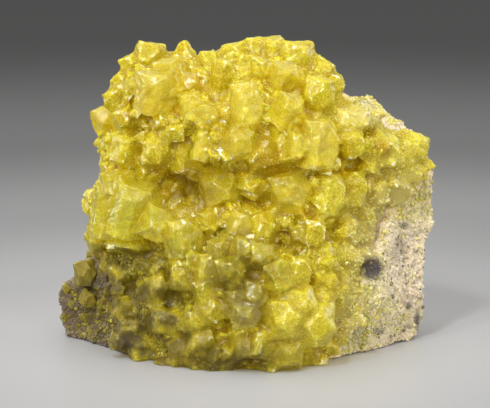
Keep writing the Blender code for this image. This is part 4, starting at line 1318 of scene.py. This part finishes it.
# %% Mix the sulfur
SULFUR_TINTS = {
    "Lemon": (0.55, 0.485, 0.003, 1), "Amber": (0.38, 0.24, 0.001, 1), "Veil And Highlight": (0.82, 0.77, 0.11, 1),
    "Green": (0.39, 0.38, 0.004, 1), "Dull": (0.085, 0.058, 0.001, 1), "Sandy": (0.66, 0.57, 0.24, 1),
}
SUGAR_TINTS = {
    "Lemon": (0.68, 0.62, 0.05, 1), "Amber": (0.58, 0.49, 0.03, 1), "Veil And Highlight": (0.84, 0.79, 0.26, 1),
    "Green": (0.55, 0.55, 0.03, 1), "Dull": (0.11, 0.08, 0.01, 1), "Sandy": (0.84, 0.75, 0.42, 1),
}
CLEAR_TINTS = {
    "Lemon": (0.74, 0.685, 0.012, 1), "Amber": (0.61, 0.45, 0.003, 1), "Veil And Highlight": (0.92, 0.90, 0.28, 1),
    "Green": (0.50, 0.53, 0.012, 1), "Dull": (0.26, 0.21, 0.05, 1), "Sandy": (0.85, 0.78, 0.45, 1),
}
DULL_TINTS = {
    "Lemon": (0.33, 0.265, 0.015, 1), "Amber": (0.22, 0.16, 0.015, 1), "Veil And Highlight": (0.42, 0.37, 0.10, 1),
    "Green": (0.34, 0.31, 0.03, 1), "Dull": (0.17, 0.13, 0.008, 1), "Sandy": (0.50, 0.40, 0.18, 1),
}
SULFUR_IOR = 1.55
SCATTER_BY_COLOUR = (1.0, 0.85, 0.12)    # red light wanders furthest, blue hardly at all


def let_lamps_through(tree, surface, stain):
    """Turns the surface into plain stained glass for rays that look for a lamp."""
    stained = add_node(tree, "ShaderNodeBsdfTransparent", {"Color": stain})
    lamp_rays = add_node(tree, "ShaderNodeLightPath").outputs["Is Shadow Ray"]
    both = add_node(tree, "ShaderNodeMixShader", {
        0: lamp_rays, 1: surface.outputs[0], 2: stained.outputs[0],
    })
    feed(tree, tree.nodes["Material Output"].inputs["Surface"], both.outputs[0])


def sulfur_material(name, tints, clearness, scatter, veil, edge, roughness, relief_scale, bump, stain=None):
    """Sulfur in these tints. Clearness is its share of transmission, scatter how far light wanders."""
    made, tree, surface = new_material(name)
    tint = place_group(tree, sulfur_tint, {
        **tints, "Veil Share": veil, "Edge Highlight Share": edge, "Roughness": roughness,
    })
    feed(tree, surface.inputs["Base Color"], tint["Colour"])
    feed(tree, surface.inputs["Roughness"], tint["Roughness"])
    surface.inputs["Transmission Weight"].default_value = clearness
    surface.inputs["IOR"].default_value = SULFUR_IOR
    surface.inputs["Specular IOR Level"].default_value = 0.22
    surface.inputs["Subsurface Weight"].default_value = 1.0
    surface.inputs["Subsurface Radius"].default_value = SCATTER_BY_COLOUR
    surface.inputs["Subsurface Scale"].default_value = scatter
    height = place_group(tree, fine_relief, {"Scale": relief_scale, "Fine Share": 0.12})["Height"]
    grain = add_node(tree, "ShaderNodeBump", {"Strength": bump, "Distance": 0.3 * MM, "Height": height})
    feed(tree, surface.inputs["Normal"], grain.outputs["Normal"])
    if stain:
        let_lamps_through(tree, surface, stain)
    return made


FINISHES = {
    "fused": sulfur_material(
        "fused_sulfur", SULFUR_TINTS, clearness=0.15, scatter=2.0 * MM, veil=0.45, edge=0.45,
        roughness=0.2, relief_scale=700, bump=0.4, stain=(0.62, 0.54, 0.04, 1),
    ),
    "clear": sulfur_material(
        "clear_sulfur", CLEAR_TINTS, clearness=0.6, scatter=2.0 * MM, veil=0.5, edge=0.5,
        roughness=0.09, relief_scale=700, bump=0.5, stain=(0.72, 0.66, 0.12, 1),
    ),
    "small": sulfur_material(
        "sugar_sulfur", SUGAR_TINTS, clearness=0.2, scatter=1.2 * MM, veil=0.3, edge=0.3,
        roughness=0.08, relief_scale=1500, bump=0.2, stain=(0.7, 0.62, 0.1, 1),
    ),
    "dull": sulfur_material(
        "dull_sulfur", DULL_TINTS, clearness=0.0, scatter=0.8 * MM, veil=0.25, edge=0.5,
        roughness=0.34, relief_scale=1300, bump=0.8,
    ),
}
for piece, finish, slot in (
    (growth, "fused", "sulfur"), (clear, "clear", "sulfur"), (small, "small", "sulfur"),
    (sugar, "small", "sulfur"), (apron, "dull", "dull_sulfur"),
    *((piece, "dull", "dull_sulfur") for piece in lone.values()),
):
    piece.data.materials.append(FINISHES[finish])
    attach(piece, "root")
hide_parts("sulfur_druse")
for name, piece in lone.items():
    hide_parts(name)

# %% [markdown]
# ## Rock finish
#
# The rock is tan and pink sand with pale and dark specks, dusted with sulfur next to the growth, olive brown
# under the dull crust and purple brown at its left tip. Its seams and pits get painted shade in the dark
# speck colour, the dull patches also paint shade low on the front, and the dark patches paint dark spots and
# shade in a crevice and under the foot. The loose grains have the same finish, but each takes a tone of its
# own from a ramp of sand colours.

# %% Mix the rock
TAN = (0.86, 0.72, 0.44, 1)
PINKISH = (0.84, 0.68, 0.49, 1)
CREAM = (0.95, 0.87, 0.66, 1)
GREY_BROWN = (0.27, 0.20, 0.13, 1)
DARK_SPECK_AND_SHADE = (0.12, 0.085, 0.055, 1)
OLIVE_BROWN = (0.095, 0.058, 0.004, 1)
PURPLE_BROWN = (0.115, 0.07, 0.045, 1)
DARK_GREY = (0.11, 0.095, 0.09, 1)
SULFUR_DUST = (0.80, 0.72, 0.22, 1)
GRAIN_TONES = (
    (0.0, GREY_BROWN), (0.10, TAN), (0.4, PINKISH), (0.6, CREAM), (0.85, SULFUR_DUST), (0.98, DARK_SPECK_AND_SHADE),
)
# How many of each fleck lie along a metre
DUST_FLECKS = 330
CREAM_FLECKS = 2200
BROWN_FLECKS = 1700
DARK_FLECKS = 700


def rock_material(name, start, dust_share, speck_share):
    """Rock whose colour starts from start, a function of the tree."""
    made, tree, surface = new_material(name)

    def share_of(finish, most):
        return calculate(tree, "MULTIPLY", read_attribute(tree, finish), most, clamp=True)

    def flecked(colour, fleck_colour, scale, low, high, share):
        return place_group(tree, flecks, {
            "Colour": colour, "Fleck Colour": fleck_colour, "Scale": scale, "From": low, "To": high,
            "Share": share,
        })["Colour"]

    colour = flecked(start(tree), SULFUR_DUST, DUST_FLECKS, 0.35, 0.55, share_of("dusted", dust_share))
    # Olive brown on the dull patches, which also paint shade low on the front, with fewer cream flecks there
    colour = blend_colours(tree, share_of("dull", 0.92), colour, OLIVE_BROWN)
    colour = blend_colours(tree, share_of("purple", 0.9), colour, PURPLE_BROWN)
    dirt_and_shade = calculate(tree, "MAXIMUM", read_attribute(tree, "dull"), read_attribute(tree, "purple"))
    clean = calculate(tree, "SUBTRACT", 0.75, calculate(tree, "MULTIPLY", dirt_and_shade, 0.7))
    colour = flecked(colour, CREAM, CREAM_FLECKS, 0.50, 0.68, clean)
    colour = flecked(colour, GREY_BROWN, BROWN_FLECKS, 0.55, 0.64, speck_share)
    # Painted shade: the dark speck colour in the rock's seams and pits
    seam = stretch(tree, read_attribute(tree, "seam"), 0.1, -1.2)
    colour = blend_colours(tree, calculate(tree, "MULTIPLY", seam, 0.45), colour, DARK_SPECK_AND_SHADE)
    # Dark grey spots, and painted shade in a crevice and under the foot
    colour = flecked(colour, DARK_GREY, DARK_FLECKS, 0.3, 0.45, read_attribute(tree, "dark"))
    feed(tree, surface.inputs["Base Color"], colour)
    surface.inputs["Roughness"].default_value = 0.75
    height = place_group(tree, fine_relief, {"Scale": 1300, "Fine Share": 0.4})["Height"]
    grain = add_node(tree, "ShaderNodeBump", {"Strength": 0.9, "Distance": 0.4 * MM, "Height": height})
    feed(tree, surface.inputs["Normal"], grain.outputs["Normal"])
    return made


def sand_bed(tree):
    """Tan and pink in broad clouds."""
    return blend_colours(tree, stretch(tree, cloud(tree, 120, 4), 0.4, 0.6), TAN, PINKISH)


def grain_ramp(tree):
    """One sand colour for each grain, by its tone."""
    ramp = add_node(tree, "ShaderNodeValToRGB", {"Fac": read_attribute(tree, "tone")})
    while len(ramp.color_ramp.elements) < len(GRAIN_TONES):
        ramp.color_ramp.elements.new(0.5)
    for stop, (position, colour) in zip(ramp.color_ramp.elements, GRAIN_TONES):
        stop.position = position
        stop.color = colour
    return ramp.outputs["Color"]


for piece, finish in (
    (rock, rock_material("porous_rock", sand_bed, dust_share=0.9, speck_share=0.8)),
    (grains, rock_material("rock_grain", grain_ramp, dust_share=0.6, speck_share=0.3)),
):
    piece.data.materials.append(finish)
    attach(piece, "root")
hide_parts("matrix")

# %% [markdown]
# ## Measure and finish
#
# Last, the solids' box and the finished specimen's box are written down, so that the two can be compared.

# %% Write the two boxes and finish
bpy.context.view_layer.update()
boxes = [[round(c / MM, 1) for c in corner] for corner in (*cad_box, *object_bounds())]
print("solids' box and visual box in mm:", boxes)
